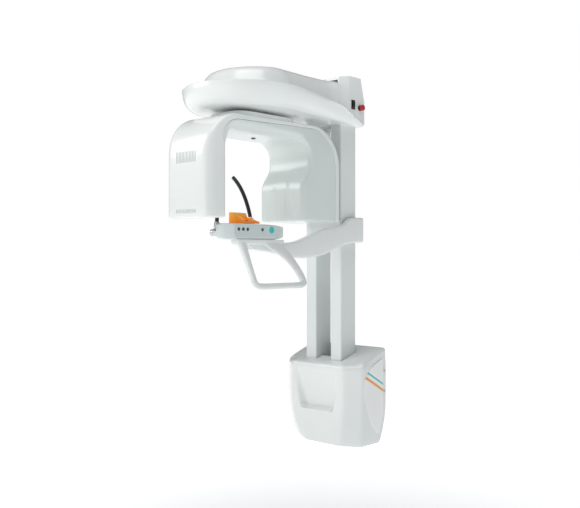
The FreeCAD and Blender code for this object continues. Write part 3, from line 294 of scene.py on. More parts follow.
def sprayed(name, colour, roughness, coat=0.25):
    """Sprayed paint on metal: finer peel than plastic and a clear top coat."""
    finish = Finish(name, colour, roughness, coat=coat)
    cloud = finish.noise(4, 3)
    peel = finish.noise(520, 2)
    finish.set(base_color=finish.blend(cloud, tinted(colour, 0.965), tinted(colour, 1.01)),
               roughness=roughness - 0.04 + cloud * 0.06 + peel * 0.04)
    finish.relief(peel, 0.0001, 0.25)
    return finish.material


def worked_metal(name, colour, roughness, along=(1, 1, 1), mottle=0.12):
    """Bare metal with fine tool marks drawn out along one direction, and stains in its tone."""
    finish = Finish(name, colour, roughness, metallic=1.0)
    drawn = finish.add("ShaderNodeMapping", vector=finish.place, scale=along).output("Vector")
    marks = finish.noise(900, 3, drawn)
    stain = finish.noise(24, 5)
    finish.set(base_color=finish.blend(stain, tinted(colour, 1 - mottle), tinted(colour, 1 + mottle / 2)),
               roughness=roughness - 0.08 + marks * 0.14 + stain * 0.08)
    finish.relief(marks, 0.00008, 0.3)
    return finish.material


def spangled_zinc(name):
    """Galvanised sheet: crystal facets that differ in tone and gloss."""
    colour = (0.56, 0.58, 0.60)
    finish = Finish(name, colour, 0.38, metallic=1.0)
    facet = finish.add("ShaderNodeTexVoronoi", vector=finish.place, scale=95).output("Distance")
    cloud = finish.noise(30, 3)
    finish.set(base_color=finish.blend(facet, tinted(colour, 0.82), tinted(colour, 1.14)),
               roughness=0.28 + facet * 0.2 + cloud * 0.1)
    finish.relief(facet, 0.0001, 0.2)
    return finish.material


def clear_tinted(name):
    """Clear orange plastic: a deep tint, paler higher up, with fine cloudy streaks and a faint painted glow.
    """
    deep, pale = (0.92, 0.17, 0.012), (1.0, 0.46, 0.05)
    finish = Finish(name, deep, 0.12, coat=0.6)
    _, _, up = finish.axes()
    cloud = finish.noise(60, 4)
    height = (up - 0.664) * 20 + cloud * 0.35
    # painted glow: a faint orange emission, paler higher up, stands in for light passing through the clear
    # plastic
    finish.set(base_color=finish.blend(height, deep, pale), roughness=0.1 + cloud * 0.08,
               emission_color=finish.blend(height, (0.9, 0.14, 0.0), (1.0, 0.4, 0.03)),
               emission_strength=0.16)
    finish.relief(finish.noise(300, 2), 0.0001, 0.15)
    return finish.material


def striped_trim(name):
    """White trim panel with two plain slanted bands, turquoise and orange."""
    white, turquoise, orange = (0.90, 0.91, 0.90), (0.05, 0.55, 0.56), (0.90, 0.34, 0.05)
    finish = Finish(name, white, 0.3, coat=0.3)
    _, along, up = finish.axes()
    rise = up + along * 0.55
    cloud = finish.noise(8, 3)
    upper = band(rise, 0.036, 0.0045)
    lower = band(rise, 0.012, 0.0060)
    base = finish.blend(cloud, tinted(white, 0.96), white)
    painted = finish.blend(upper, base, turquoise)
    finish.set(base_color=finish.blend(lower, painted, orange), roughness=0.26 + cloud * 0.08)
    finish.relief(finish.noise(900, 2), 0.0001, 0.2)
    return finish.material


def band(value, middle, half):
    """One inside a band about middle, nought outside it, with a fine soft edge."""
    away = (value - middle).math("ABSOLUTE", value - middle)
    inside = (half - away) * 1500
    return inside.math("MINIMUM", inside.math("MAXIMUM", inside, 0.0), 1.0)


def belt_weave(name):
    """Toothed drive belt: black rubber ribbed across its run."""
    finish = Finish(name, (0.02, 0.02, 0.022), 0.75)
    _, along, _ = finish.axes()
    turns = along * 1250
    ribs = turns.math("SINE", turns)
    dust = finish.noise(90, 4)
    finish.set(base_color=finish.blend(dust, (0.016, 0.016, 0.018), (0.05, 0.05, 0.052)),
               roughness=0.62 + dust * 0.25)
    finish.relief(ribs, 0.0006, 0.5)
    return finish.material


WHITE = (0.80, 0.83, 0.82)
FINISHES = {
    "shell_white": moulded("shell_white", WHITE, 0.24, coat=0.35),
    "post_white": sprayed("post_white", (0.74, 0.78, 0.77), 0.42, coat=0.1),
    "boom_white": sprayed("boom_white", (0.78, 0.81, 0.80), 0.3),
    "trim_white": striped_trim("trim_white"),
    "panel_grey": moulded("panel_grey", (0.70, 0.76, 0.75), 0.34, coat=0.15, dirt=0.25),
    "film_grey": moulded("film_grey", (0.60, 0.68, 0.67), 0.45, grain=2600),
    "key_dark": moulded("key_dark", (0.03, 0.05, 0.07), 0.4, grain=2400),
    "key_green": moulded("key_green", (0.02, 0.13, 0.10), 0.4, grain=2400),
    "key_turquoise": moulded("key_turquoise", (0.02, 0.55, 0.48), 0.3, coat=0.3),
    "orange_clear": clear_tinted("orange_clear"),
    "black_plastic": moulded("black_plastic", (0.012, 0.012, 0.014), 0.38, grain=2200, dirt=0.3),
    "red_plastic": moulded("red_plastic", (0.50, 0.008, 0.02), 0.26, coat=0.4),
    # painted shade: the lining is a little greyer than the white shell, standing for the shade inside the
    # arch's opening
    "liner_grey": moulded("liner_grey", (0.72, 0.77, 0.76), 0.26, coat=0.3),
    "steel": worked_metal("steel", (0.56, 0.57, 0.59), 0.3, along=(1, 1, 0.06)),
    "aluminium": worked_metal("aluminium", (0.68, 0.69, 0.71), 0.34, along=(0.06, 1, 1)),
    "zinc_frame": spangled_zinc("zinc_frame"),
    "motor_black": sprayed("motor_black", (0.02, 0.02, 0.023), 0.45, coat=0.0),
    "belt_rubber": belt_weave("belt_rubber"),
    "pad_acetal": moulded("pad_acetal", (0.78, 0.77, 0.70), 0.5, grain=1200),
}
for entry in frame["record"]["subparts"]:
    cad_mesh = frame["nodes"][entry["node"]].data
    cad_mesh.materials.clear()
    cad_mesh.materials.append(FINISHES[entry["material_slot"]])


# ------------------------------------------------------------------ the rotating arch

FRONT, REAR = -0.296, 0.380      # the arch's outer faces, measured from its axis along the beam
FRONT_INNER, REAR_INNER = -0.215, 0.207
OUTER_ROUND, INNER_ROUND = 0.150, 0.058


def turned(centre, radius, start, stop, steps):
    """Points on an arc, angles in degrees from +v, turning towards Z."""
    out = []
    for step in range(steps + 1):
        angle = math.radians(start + (stop - start) * step / steps)
        out.append((centre[0] + radius * math.cos(angle), centre[1] + radius * math.sin(angle)))
    return out


def arch_stations():
    """Stations along the arch: outer point, inner point, how far it is past the front and rear corner."""
    shoulder, eave = CROWN - OUTER_ROUND, CEILING - INNER_ROUND
    front, rear = FRONT + OUTER_ROUND, REAR - OUTER_ROUND
    inner_front, inner_rear = FRONT_INNER + INNER_ROUND, REAR_INNER - INNER_ROUND
    stations = []
    for share in (0.0, 0.12, 0.28, 0.46, 0.64, 0.82):
        outer = (FRONT, LEG_END + (shoulder - LEG_END) * share)
        stations.append((outer, (FRONT_INNER, LEG_END + (eave - LEG_END) * share), 0.0, 0.0))
    corners = zip(turned((front, shoulder), OUTER_ROUND, 180, 90, 16),
                  turned((inner_front, eave), INNER_ROUND, 180, 90, 16))
    stations += [(outer, inner, step / 16, 0.0) for step, (outer, inner) in enumerate(corners)]
    for step in range(1, 10):
        share = step / 10
        outer = (front + share * (rear - front), CROWN)
        inner = (inner_front + share * (inner_rear - inner_front), CEILING)
        stations.append((outer, inner, 1.0, max(0.0, share - 0.75)))
    corners = zip(turned((rear, shoulder), OUTER_ROUND, 90, 0, 16),
                  turned((inner_rear, eave), INNER_ROUND, 90, 0, 16))
    stations += [(outer, inner, 1.0, 0.25 + 0.75 * step / 16) for step, (outer, inner) in enumerate(corners)]
    for step in range(1, 21):
        share = step / 20
        z = eave - (eave - LEG_END) * share
        recess = 0.044 * float(smooth_step(0.800, 0.892, z))
        stations.append(((REAR, shoulder - (shoulder - LEG_END) * share),
                         (REAR_INNER - 0.044 + recess, z), 1.0, 1.0))
    return stations


def with_feet(stations):
    """The stations with both feet rounded off: each gets an inset, nought between the feet."""
    ends = [(0.0, 0.0075), (0.0010, 0.0035), (0.0035, 0.0010), (0.0075, 0.0)]
    first, last = stations[0], stations[-1]

    def foot(station, up, inset):
        (ov, oz), (iv, iz), past_front, past_rear = station
        return ((ov, oz + up), (iv, iz + up), past_front, past_rear, inset)

    out = [foot(first, up, inset) for up, inset in ends]
    out += [(*station, 0.0) for station in stations[1:-1]]
    return out + [foot(last, up, inset) for up, inset in ends[::-1]]


def arch_ring(station, profile):
    """One ring of the arch from (across, depth) points; depth runs from the opening's face outwards."""
    outer, inner = station[0], station[1]
    length = math.dist(outer, inner)
    away = ((outer[0] - inner[0]) / length, (outer[1] - inner[1]) / length)
    return [(across, ARM_AXIS + inner[0] + away[0] * depth, inner[1] + away[1] * depth)
            for across, depth in profile]


def parting_depth(station):
    """How deep the white shell meets the lining: at the opening in front, far out behind."""
    outer, inner, past_front, past_rear = station[:4]
    length = math.dist(outer, inner)
    crown, rear = length - 0.021, length - 0.028
    far = crown + (rear - crown) * float(smooth_step(0.2, 0.8, past_rear))
    return 0.006 + (far - 0.006) * float(smooth_step(0.0, 0.9, past_front))


def shell_profile(station):
    """The white shell's cross-section: soft edges outside, a small lip where the lining starts."""
    inset = station[4]
    length, start = math.dist(station[0], station[1]), parting_depth(station)
    half = ARCH_HALF - inset
    near, far = start + inset * 0.3, length - inset
    corners = [(half, near), (half, far), (-half, far), (-half, near)]
    soft = min(0.056, (length - start) * 0.9)
    return rounded_outline(corners, [0.002, soft, soft, 0.002], 10)


def lining_profile(station):
    """The lining's cross-section: its side, the flare into the opening, and the opening's face."""
    past_front, past_rear, inset = station[2:]
    parting = parting_depth(station) - 0.0012
    to_rear = float(smooth_step(0.15, 0.45, past_rear))
    to_crown = float(smooth_step(0.25, 1.0, past_front))
    wide = 0.005 + 0.048 * to_crown * (1 - to_rear) + 0.009 * to_rear
    deep = min(parting * 0.94, 0.005 + 0.034 * to_crown * (1 - to_rear) + 0.011 * to_rear)
    half = ARCH_HALF - 0.0016 - inset
    side = []
    for step in range(9):
        angle = math.pi / 2 * step / 8
        side.append((half - wide * (1 - math.cos(angle)), inset + deep * (1 - math.sin(angle))))
    face = [(float(x), inset) for x in np.linspace(half - wide - 0.002, -half + wide + 0.002, 41)]
    edge = [(half, parting - (parting - inset - deep) * share) for share in (0.0, 0.12, 0.5, 0.9)]
    edge[0] = (half - 0.001, parting)
    right = edge + side
    return right + face + [(-x, depth) for x, depth in right[::-1]]


def box_points(x, y, z):
    """The eight corners of a box, in the order that BOX_FACES counts them."""
    return [(px, py, pz) for pz in z for py in y for px in x]


BOX_FACES = [(0, 2, 3, 1), (4, 5, 7, 6), (0, 1, 5, 4), (2, 6, 7, 3), (0, 4, 6, 2), (1, 3, 7, 5)]


def cutter_of(name, boxes):
    """One block of plain box cutters."""
    points, faces = [], []
    for box in boxes:
        faces += [tuple(len(points) + i for i in face) for face in BOX_FACES]
        points += box_points(*box)
    return mesh_piece(name, points, faces)


GRILLES = ((0.862, 0.900), (0.694, 0.706))       # lower and upper end of the slots
SLOTS, SLOT_STEP, SLOT_HALF = 14, 0.0075, 0.0019


def face_at(piece, level):
    """Where the front of a piece is at one level, on its middle line."""
    return piece.ray_cast((0, -2, level), (0, 1, 0))[1].y


def vent_cutter(piece):
    """Upright slots for the two grilles on the front leg, as one block of cutters."""
    points, faces = [], []
    for low, high in GRILLES:
        skin = face_at(piece, (low + high) / 2)
        for column in range(SLOTS):
            x = -0.0488 + column * SLOT_STEP
            left, right = x - SLOT_HALF, x + SLOT_HALF
            corners = [(left, low), (right, low), (right, high), (left, high)]
            outline = rounded_outline(corners, [0.0012] * 4, 2)
            base, count = len(points), len(outline)
            for y in (skin - 0.006, skin + 0.0045):
                points += [(px, y, pz) for px, pz in outline]
            faces += [(base + i, base + (i + 1) % count, base + count + (i + 1) % count, base + count + i)
                      for i in range(count)]
            faces += [tuple(range(base, base + count))[::-1], tuple(range(base + count, base + 2 * count))]
    return mesh_piece("vent_cutter", points, faces)


def cut_away(piece, cutter):
    """Take the cutter out of the piece for good, and remove the cutter."""
    trim = piece.modifiers.new("cut", "BOOLEAN")
    trim.object, trim.solver = cutter, "EXACT"
    bpy.context.view_layer.update()
    graph = bpy.context.evaluated_depsgraph_get()
    mesh = bpy.data.meshes.new_from_object(piece.evaluated_get(graph))
    piece.modifiers.clear()
    piece.data = mesh
    bpy.data.objects.remove(cutter)
    mesh.shade_smooth()
    mesh.set_sharp_from_angle(angle=math.radians(32))


def vent_screens(shell):
    """A dark screen seen at the bottom of each grille's slots."""
    boxes = []
    for low, high in GRILLES:
        skin = face_at(shell, (low + high) / 2)
        boxes.append(((-0.052, 0.052), (skin + 0.003, skin + 0.0045), (low - 0.002, high + 0.002)))
    return cutter_of("vent_screens", boxes)


def arch_outer_shell():
    rings = [arch_ring(station, shell_profile(station)) for station in with_feet(arch_stations())]
    shell = lofted("arch_shell", rings)
    screens = vent_screens(shell)
    cut_away(shell, vent_cutter(shell))
    place(screens, "arch", "liner_grey", "vent_screens")
    place(shell, "arch", "shell_white", "arch_outer_shell")


# half width, lower and upper end, and the way from the arch's axis to the leg
BEAM_WINDOWS = ((0.0317, 0.7203, 0.8397, -1), (0.0197, 0.7003, 0.7997, 1))


def beam_windows(lining):
    """Thin plates that follow the lining where the beam leaves one leg and enters the other."""
    for half, low, high, heading in BEAM_WINDOWS:
        rings = []
        for level in np.linspace(low, high, 13).tolist():
            skin = lining.ray_cast((0, ARM_AXIS, level), (0, heading, 0))[1].y
            proud, sunk = skin - 0.0008 * heading, skin + 0.0015 * heading
            section = [(-half, proud), (half, proud), (half, sunk), (-half, sunk)]
            rings.append([(x, y, level) for x, y in section])
        place(lofted("beam_window", rings, sharp=30), "arch", "liner_grey", "beam_windows")


def arch_inner_liner():
    """The opening's lining, flared under the crown, with a shallow tongue moulded in the rear leg's face."""
    rings = []
    for station in with_feet(arch_stations()):
        level = station[1][1]
        profile = []
        for across, depth in lining_profile(station):
            if station[3] >= 1 and depth < 0.003:
                edge = 0.030 + 0.046 * float(smooth_step(0.85, 0.68, level)) - abs(across)
                fade = float(smooth_step(0.868, 0.80, level))
                depth += 0.0030 * float(smooth_step(-0.006, 0.016, edge)) * fade
            profile.append((across, depth))
        rings.append(arch_ring(station, profile))
    lining = lofted("arch_liner", rings, sharp=24)
    beam_windows(lining)
    place(lining, "arch", "liner_grey", "arch_inner_liner")


NECK_TOP = 1.051


def neck_ring():
    """The raised platform round the arch's shaft, flared where it grows out of the crown."""
    rings = []
    for grow, z in ((0.006, CROWN - 0.030), (0.006, CROWN - 0.0012), (0.0035, CROWN + 0.0012),
                    (0.0015, CROWN + 0.004), (0.0, CROWN + 0.009), (-0.001, NECK_TOP - 0.0025),
                    (-0.003, NECK_TOP - 0.0008), (-0.006, NECK_TOP)):
        half, front, rear = 0.092 + grow, ARM_AXIS - 0.134 - grow, ARM_AXIS + 0.164 + grow
        corners = [(half, front), (half, rear), (-half, rear), (-half, front)]
        rings.append([(x, y, z) for x, y in rounded_outline(corners, [0.060] * 4, 8)])
    rings.append([(x * 0.4, ARM_AXIS + (y - ARM_AXIS) * 0.25, NECK_TOP) for x, y, _ in rings[-1]])
    place(lofted("neck", rings), "arch", "shell_white", "neck_ring")


# ------------------------------------------------------------------ the overhead

BOWL_FLOOR, BOWL_RADIUS = 1.060, 0.240
BOWL_REAR, BOWL_REAR_HALF = 0.038, 0.119         # where the bowl ends at the head, and half its width there
LID_RADIUS, LID_REAR, LID_REAR_HALF = 0.188, 0.127, 0.078
SLOT_ROUND = 0.050               # half the width of the neck's slot
SPOKES = 176                     # points round each ring of the bowl and its lid


def plan_outline(radius, rear_half, rear):
    """Plan of the overhead: a round nose about the arch's axis that runs back to the column's head."""
    away = math.hypot(rear_half, -rear - ARM_AXIS)
    turn = math.atan2(-rear - ARM_AXIS, rear_half) - math.acos(min(0.999, radius / away))
    nose = []
    for step in range(121):
        angle = turn - (math.pi + 2 * turn) * step / 120
        nose.append((radius * math.cos(angle), ARM_AXIS + radius * math.sin(angle)))
    return nose + [(-rear_half, -rear), (rear_half, -rear)]


def rim_level(y):
    """Height of the line where bowl and lid meet."""
    return float(np.interp(-y, [0.038, 0.220, 0.865], [1.068, 1.116, 1.143]))


def overhead_ring(outline, level):
    """A level ring of the bowl or the lid, its points on even spokes."""
    return [(x, y, level) for x, y in radial_outline(outline, (0.0, ARM_AXIS - 0.02), SPOKES)]


def neck_slot(grow):
    """The slot in the bowl's floor that the arch's neck travels in."""
    radius = SLOT_ROUND + grow
    return turned((0.0, ARM_AXIS - 0.04), radius, -180, 0, 20) + turned((0.0, ARM_AXIS), radius, 0, 180, 20)


def overhead_bowl():
    """Floor with the neck's slot, a soft turn up into the band, a rounded rim and a ledge inside it."""
    rings = [overhead_ring(neck_slot(grow), BOWL_FLOOR + rise)
             for grow, rise in ((0.0, 0.004), (0.0, 0.0012), (0.0015, 0.0))]
    for rise, inset in ((0.0, 0.058), (0.0012, 0.050), (0.0045, 0.039), (0.0095, 0.0295), (0.016, 0.021),
                        (0.025, 0.0135), (0.036, 0.0075), (0.050, 0.0028)):
        outline = plan_outline(BOWL_RADIUS - inset, BOWL_REAR_HALF - inset * 0.45, BOWL_REAR)
        ring = overhead_ring(outline, BOWL_FLOOR + rise)
        rings.append([(x, y, min(z, rim_level(y) - 0.007)) for x, y, z in ring])
    for inset, drop in ((0.0, 0.005), (0.0006, 0.0022), (0.0026, 0.0004), (0.0060, 0.0), (0.030, 0.0),
                        (0.052, 0.0), (0.056, 0.006)):
        outline = plan_outline(BOWL_RADIUS - inset, BOWL_REAR_HALF - inset * 0.7, BOWL_REAR)
        ring = overhead_ring(outline, BOWL_FLOOR + 0.008)
        rings.append([(x, y, max(z, rim_level(y) - drop)) for x, y, z in ring])
    place(lofted("bowl", rings, cap_first=False, cap_last=False), "column", "shell_white", "overhead_bowl")


def overhead_lid():
    """Low crown: hollow where it leaves the rim, full at its shoulder, rising slowly to the rear."""
    def top(y):
        return float(np.interp(-y, [0.150, 0.220, 0.560, 0.660, 0.748], [1.232, 1.222, 1.212, 1.206, 1.199]))

    rings = []
    for radius, share in ((LID_RADIUS, 0.0), (0.1835, 0.05), (0.177, 0.15), (0.170, 0.30), (0.164, 0.47),
                          (0.158, 0.63), (0.151, 0.76), (0.142, 0.865), (0.130, 0.935), (0.114, 0.972),
                          (0.090, 0.99), (0.050, 1.0)):
        rear_half = LID_REAR_HALF - (LID_RADIUS - radius) * 0.16
        ring = overhead_ring(plan_outline(radius, rear_half, LID_REAR), 0.0006)
        rings.append([(x, y, rim_level(y) + z + share * (top(y) - rim_level(y))) for x, y, z in ring])
    place(lofted("lid", rings, cap_first=False), "column", "shell_white", "overhead_lid")


# ------------------------------------------------------------------ the drive unit's covers

UNIT_LOW, BROW = -0.191, 0.115
UNIT_HALF, UNIT_FRONT_HALF, UNIT_DEEP, UNIT_SIDE_DEEP = 0.1945, 0.134, 0.195, 0.146
COVER_LEVELS = (UNIT_LOW, -0.190, -0.186, -0.178, -0.166, -0.150, -0.130, -0.108, -0.085, -0.062, -0.054,
                -0.047, -0.040, -0.030, -0.015, 0.005, 0.030, 0.055, 0.080, 0.100, BROW)
FOOT_INSETS = (0.008, 0.0045, 0.0015)            # how far the lowest rings are drawn in
SHELF, POCKET_HIGH, POCKET_DEEP = -0.052, 0.185, 0.0265


def unit_outline(level, inset):
    """Plan of the cover at one level: straight sides, broad soft corners, tapering in at its foot."""
    down = max(0.0, min(1.0, level / UNIT_LOW))
    taper = 0.046 * down ** 2.2 + inset
    chin = 0.036 * down ** 2.6 + inset
    side, front = UNIT_HALF - taper * 0.72, UNIT_FRONT_HALF - taper
    deep, side_deep = UNIT_DEEP - chin, UNIT_SIDE_DEEP - chin * 0.8
    right = [(side, 0.0), (side, -side_deep), (front, -deep)]
    return right + [(-x, y) for x, y in right[::-1]], (0.002, 0.024, 0.030, 0.030, 0.024, 0.002)


def unit_ring(level, inset=0.0):
    """A ring of even steps along the cover's outline, with the pocket pressed into its front."""
    corners, radii = unit_outline(level, inset)
    loop = np.array(rounded_outline(corners, radii, 8))
    loop = np.roll(loop, -1, axis=0)
    steps = np.linalg.norm(np.roll(loop, -1, axis=0) - loop, axis=1)
    along = np.concatenate([[0.0], np.cumsum(steps)])
    closed = np.vstack([loop, loop[:1]])
    marks = np.linspace(0, along[-1], 240, endpoint=False)
    ring = []
    for x, y in zip(np.interp(marks, along, closed[:, 0]), np.interp(marks, along, closed[:, 1])):
        ring.append((float(x), float(y + pocket_depth(x, level) * smooth_step(-0.09, -0.13, y)), level))
    return ring


def pocket_depth(x, level):
    """How deep the hollow in the front is: deepest at its shelf, running out upwards and sideways."""
    up = (level - SHELF) / POCKET_HIGH
    if up <= 0:
        return 0.0
    half = 0.070 + 0.046 * min(1.0, up)
    inside = float(smooth_step(half + 0.016, half - 0.010, abs(x)))
    return POCKET_DEEP * max(0.0, 1 - up) ** 1.25 * inside * float(smooth_step(0.0, 0.045, up))


def post_wells():
    """Room for the two posts, and between them for the rack."""
    play, rack_front = 0.0025, -0.121
    front, back = POST_FRONT - play, POST_BACK + play
    outside, inside = POST_OUT + play, POST_IN - play
    right = [(inside, rack_front), (inside, front), (outside, front), (outside, back)]
    outline = [(-x, y) for x, y in right[::-1]] + right
    return lofted("post_wells", [[(x, y, z) for x, y in outline] for z in (-0.3, 0.3)])


def lower_cover():
    """The cover over the drive: closed foot, pocketed face, a brow, and a top that climbs to the wall."""
    rings = [unit_ring(UNIT_LOW, 0.022), unit_ring(UNIT_LOW, 0.014)]
    insets = FOOT_INSETS + (0.0,) * (len(COVER_LEVELS) - len(FOOT_INSETS))
    rings += [unit_ring(level, inset) for level, inset in zip(COVER_LEVELS, insets)]
    for inset, top, climb in ((0.0008, 0.121, 0.0), (0.004, 0.127, 0.36), (0.010, 0.1315, 0.36),
                              (0.018, 0.1345, 0.36)):
        rings.append([(x, y, top + max(0.0, y + 0.15) * climb) for x, y, _ in unit_ring(BROW, inset)])
    cover = lofted("drive_cover", rings, sharp=38)
    cut_away(cover, post_wells())
    place(cover, "wall_unit", "shell_white", "lower_cover")


TRIM_EDGE = [  # height and y of the side panel's bowed front edge, from its top down
    (0.1480, -0.0300), (0.1300, -0.0760), (0.1150, -0.1040), (0.0930, -0.1270), (0.0690, -0.1375),
    (0.0300, -0.1410), (-0.0070, -0.1370), (-0.0640, -0.1130), (-0.1200, -0.0700), (-0.1490, -0.0330)]
TRIM_REACH, TRIM_BACK = 0.146, -0.0205
TRIM_SECTION = ((0.0, -0.001), (0.0, 0.0010), (0.02, 0.0019), (0.2, 0.0021), (0.4, 0.0021),
                (0.6, 0.0021), (0.8, 0.0021), (0.98, 0.0019), (1.0, 0.0010), (1.0, -0.001))


def side_trims():
    """A thin leaf-shaped panel on each side of the cover, its foot drawn to a point."""
    levels = np.linspace(TRIM_REACH, -TRIM_REACH, 60)
    across = len(TRIM_SECTION)
    for side, name in ((1, "right"), (-1, "left")):
        points, faces = [], []
        for level in levels:
            front = float(np.interp(-level, [-z for z, _ in TRIM_EDGE], [y for _, y in TRIM_EDGE]))
            skin = unit_outline(level, 0.0)[0][0][0]
            edge = float(smooth_step(0.0, 0.03, TRIM_REACH - abs(level)))
            for share, proud in TRIM_SECTION:
                y = front + (TRIM_BACK - front) * share
                soft = max(0.0, -0.118 - y) * 0.12
                points.append((side * (skin + proud * (0.4 + 0.6 * edge) - soft * 0.4), y, level))
        for row in range(len(levels) - 1):
            for column in range(across - 1):
                base = row * across + column
                faces.append((base, base + 1, base + across + 1, base + across))
        place(mesh_piece("trim_" + name, points, faces), "wall_unit", "trim_white", "side_trims")


# ------------------------------------------------------------------ the patient support

PATIENT = -0.600                 # middle of the key panel along the beam


def through(points, per_span=8):
    """A smooth run of values through given points, all columns alike."""
    knots = np.array(points, float)
    padded = np.vstack([2 * knots[0] - knots[1], knots, 2 * knots[-1] - knots[-2]])
    out = []
    for a, b, c, d in zip(padded, padded[1:], padded[2:], padded[3:]):
        for step in range(per_span):
            t = step / per_span
            out.append(0.5 * (2 * b + (c - a) * t + (2 * a - 5 * b + 4 * c - d) * t ** 2
                              + (3 * b - a - 3 * c + d) * t ** 3))
    return np.array(out + [knots[-1]])


PANEL = [  # y, front of the panel, lower and upper edge
    (-0.7450, 0.046, 0.6170, 0.6560), (-0.7430, 0.054, 0.6130, 0.6595), (-0.7370, 0.065, 0.6095, 0.6615),
    (-0.7260, 0.077, 0.6075, 0.6620), (-0.7120, 0.086, 0.6065, 0.6620), (-0.6950, 0.0900, 0.6060, 0.6620),
    (-0.6600, 0.0900, 0.6060, 0.6620), (-0.6000, 0.0900, 0.6060, 0.6620), (-0.5400, 0.0900, 0.6070, 0.6612),
    (-0.5050, 0.0896, 0.6095, 0.6592), (-0.4850, 0.0870, 0.6125, 0.6570), (-0.4700, 0.0810, 0.6160, 0.6545),
    (-0.4600, 0.0710, 0.6200, 0.6515), (-0.4560, 0.0580, 0.6240, 0.6485), (-0.4552, 0.0460, 0.6270, 0.6460)]


def panel_section(front, low, high):
    """One upright section of the panel, back to front, with the fine groove where its two shells meet."""
    back, seam = 0.028, min(0.066, front - 0.010)
    lip, groove = 0.0007, 0.0014
    corners = [(back, low), (seam - lip, low), (seam, low + groove), (seam + lip, low), (front, low),
               (front, high), (seam + lip, high), (seam, high - groove), (seam - lip, high), (back, high)]
    edge = min(0.011, (front - back) * 0.3, (high - low) * 0.35)
    radii = [edge * 0.6, 0.0002, 0.0002, 0.0002, edge, edge, 0.0002, 0.0002, 0.0002, edge * 0.6]
    return rounded_outline(corners, radii, 6)


KEY_LEVEL, KEY_RADIUS, START_RADIUS = 0.642, 0.0055, 0.011
KEYS = [(-0.698, KEY_RADIUS), (-0.677, KEY_RADIUS), (-0.656, KEY_RADIUS), (-0.584, KEY_RADIUS),
        (-0.538, START_RADIUS)]


def key_wells():
    """Stepped round holes for the keys and their flanges."""
    points, faces = [], []
    for y, radius in KEYS:
        for extra, start, stop in ((0.0004, 0.0855, 0.0960), (0.0028, 0.0760, 0.0857)):
            circle = turned((y, KEY_LEVEL), radius + extra, 0, 337.5, 15)
            base, count = len(points), len(circle)
            for x in (start, stop):
                points += [(x, cy, cz) for cy, cz in circle]
            faces += [(base + i, base + (i + 1) % count, base + count + (i + 1) % count, base + count + i)
                      for i in range(count)]
            faces += [tuple(range(base, base + count))[::-1], tuple(range(base + count, base + 2 * count))]
    return mesh_piece("key_wells", points, faces)


def key_panel():
    """The key panel: full and square at its left, drawn out to a rounded end at its right."""
    rings = [[(x, y, z) for x, z in panel_section(front, low, high)]
             for y, front, low, high in through(PANEL, 4)]
    panel = lofted("key_panel", rings, sharp=40)
    cut_away(panel, key_wells())
    place(panel, "column", "panel_grey", "panel_front", "panel_back")


def key_film():
    """The printed film on the panel's face, holed for the keys."""
    outline = [(-0.711, 0.6135), (-0.500, 0.6165), (-0.492, 0.6400), (-0.500, 0.6540), (-0.711, 0.6560)]
    loop = rounded_outline(outline, [0.005, 0.008, 0.010, 0.008, 0.005], 5)
    rings = [[(x, y + (PATIENT - y) * shrink, z) for y, z in loop]
             for x, shrink in ((0.0892, 0.0), (0.0903, 0.0), (0.0906, 0.004))]
    film = lofted("key_film", rings)
    cut_away(film, key_wells())
    place(film, "column", "film_grey", "keypad_film")


HANDLE = [  # share of the way down, y, width of the loop's arm
    (-0.06, -0.6755, 0.038), (0.02, -0.6775, 0.035), (0.25, -0.6880, 0.030), (0.50, -0.6990, 0.027),
    (0.75, -0.7095, 0.025), (0.90, -0.7150, 0.024), (0.975, -0.7080, 0.023), (1.0, -0.6860, 0.022),
    (1.0, -0.6400, 0.021), (1.0, -0.5600, 0.021), (1.0, -0.5080, 0.022), (0.975, -0.4860, 0.024),
    (0.90, -0.4760, 0.027), (0.75, -0.4730, 0.032), (0.50, -0.4790, 0.040), (0.30, -0.4930, 0.048),
    (0.14, -0.5140, 0.054), (0.02, -0.5360, 0.058), (-0.06, -0.5480, 0.058)]


GRIP_FOOT = np.array((0.1945, 0.4485))           # x and z of the middle of the grip's lowest bar
GRIP_HALF, GRIP_SOFTNESS = 0.0088, 0.8


def softened(value):
    """A sine or cosine that makes a circle a little squarer."""
    return math.copysign(abs(value) ** GRIP_SOFTNESS, value)


def handle():
    """The loop that the patient holds: broad arms under the panel that narrow to a round grip."""
    top = np.array((0.082, 0.598))
    run = GRIP_FOOT - top
    length = float(np.linalg.norm(run))
    out = np.array((run[1], -run[0])) / -length
    path = through(HANDLE, 7)
    flat = np.column_stack([path[:, 0] * length, path[:, 1]])
    heading = np.gradient(flat, axis=0)
    heading /= np.linalg.norm(heading, axis=1)[:, None]
    rings = []
    for (share, y, width), (down, across) in zip(path, heading):
        ring = []
        for step in range(24):
            angle = 2 * math.pi * step / 24
            side = softened(math.cos(angle)) * width / 2
            proud = softened(math.sin(angle)) * GRIP_HALF
            x, z = top + run * share + run / length * (-across * side) + out * proud
            ring.append((float(x), y + down * side, float(z)))
        rings.append(ring)
    grip = lofted("grip", rings)
    saddle_rings = []
    for y, shrink in ((-0.704, 0.006), (-0.7025, 0.0025), (-0.699, 0.0), (PATIENT, 0.0), (-0.482, 0.0),
                      (-0.476, 0.0025), (-0.474, 0.006)):
        back, front, high = 0.056 + shrink, 0.0935 - shrink, UNDER_PANEL + 0.0015
        corners = [(back, 0.5885 + shrink), (front, 0.5915 + shrink), (front, high), (back, high)]
        section = rounded_outline(corners, [0.007, 0.008, 0.001, 0.001], 5)
        saddle_rings.append([(x, y, z) for x, z in section])
    saddle = lofted("grip_saddle", saddle_rings)
    place(grip, "column", "boom_white", "handle")
    place(saddle, "column", "boom_white", "handle")


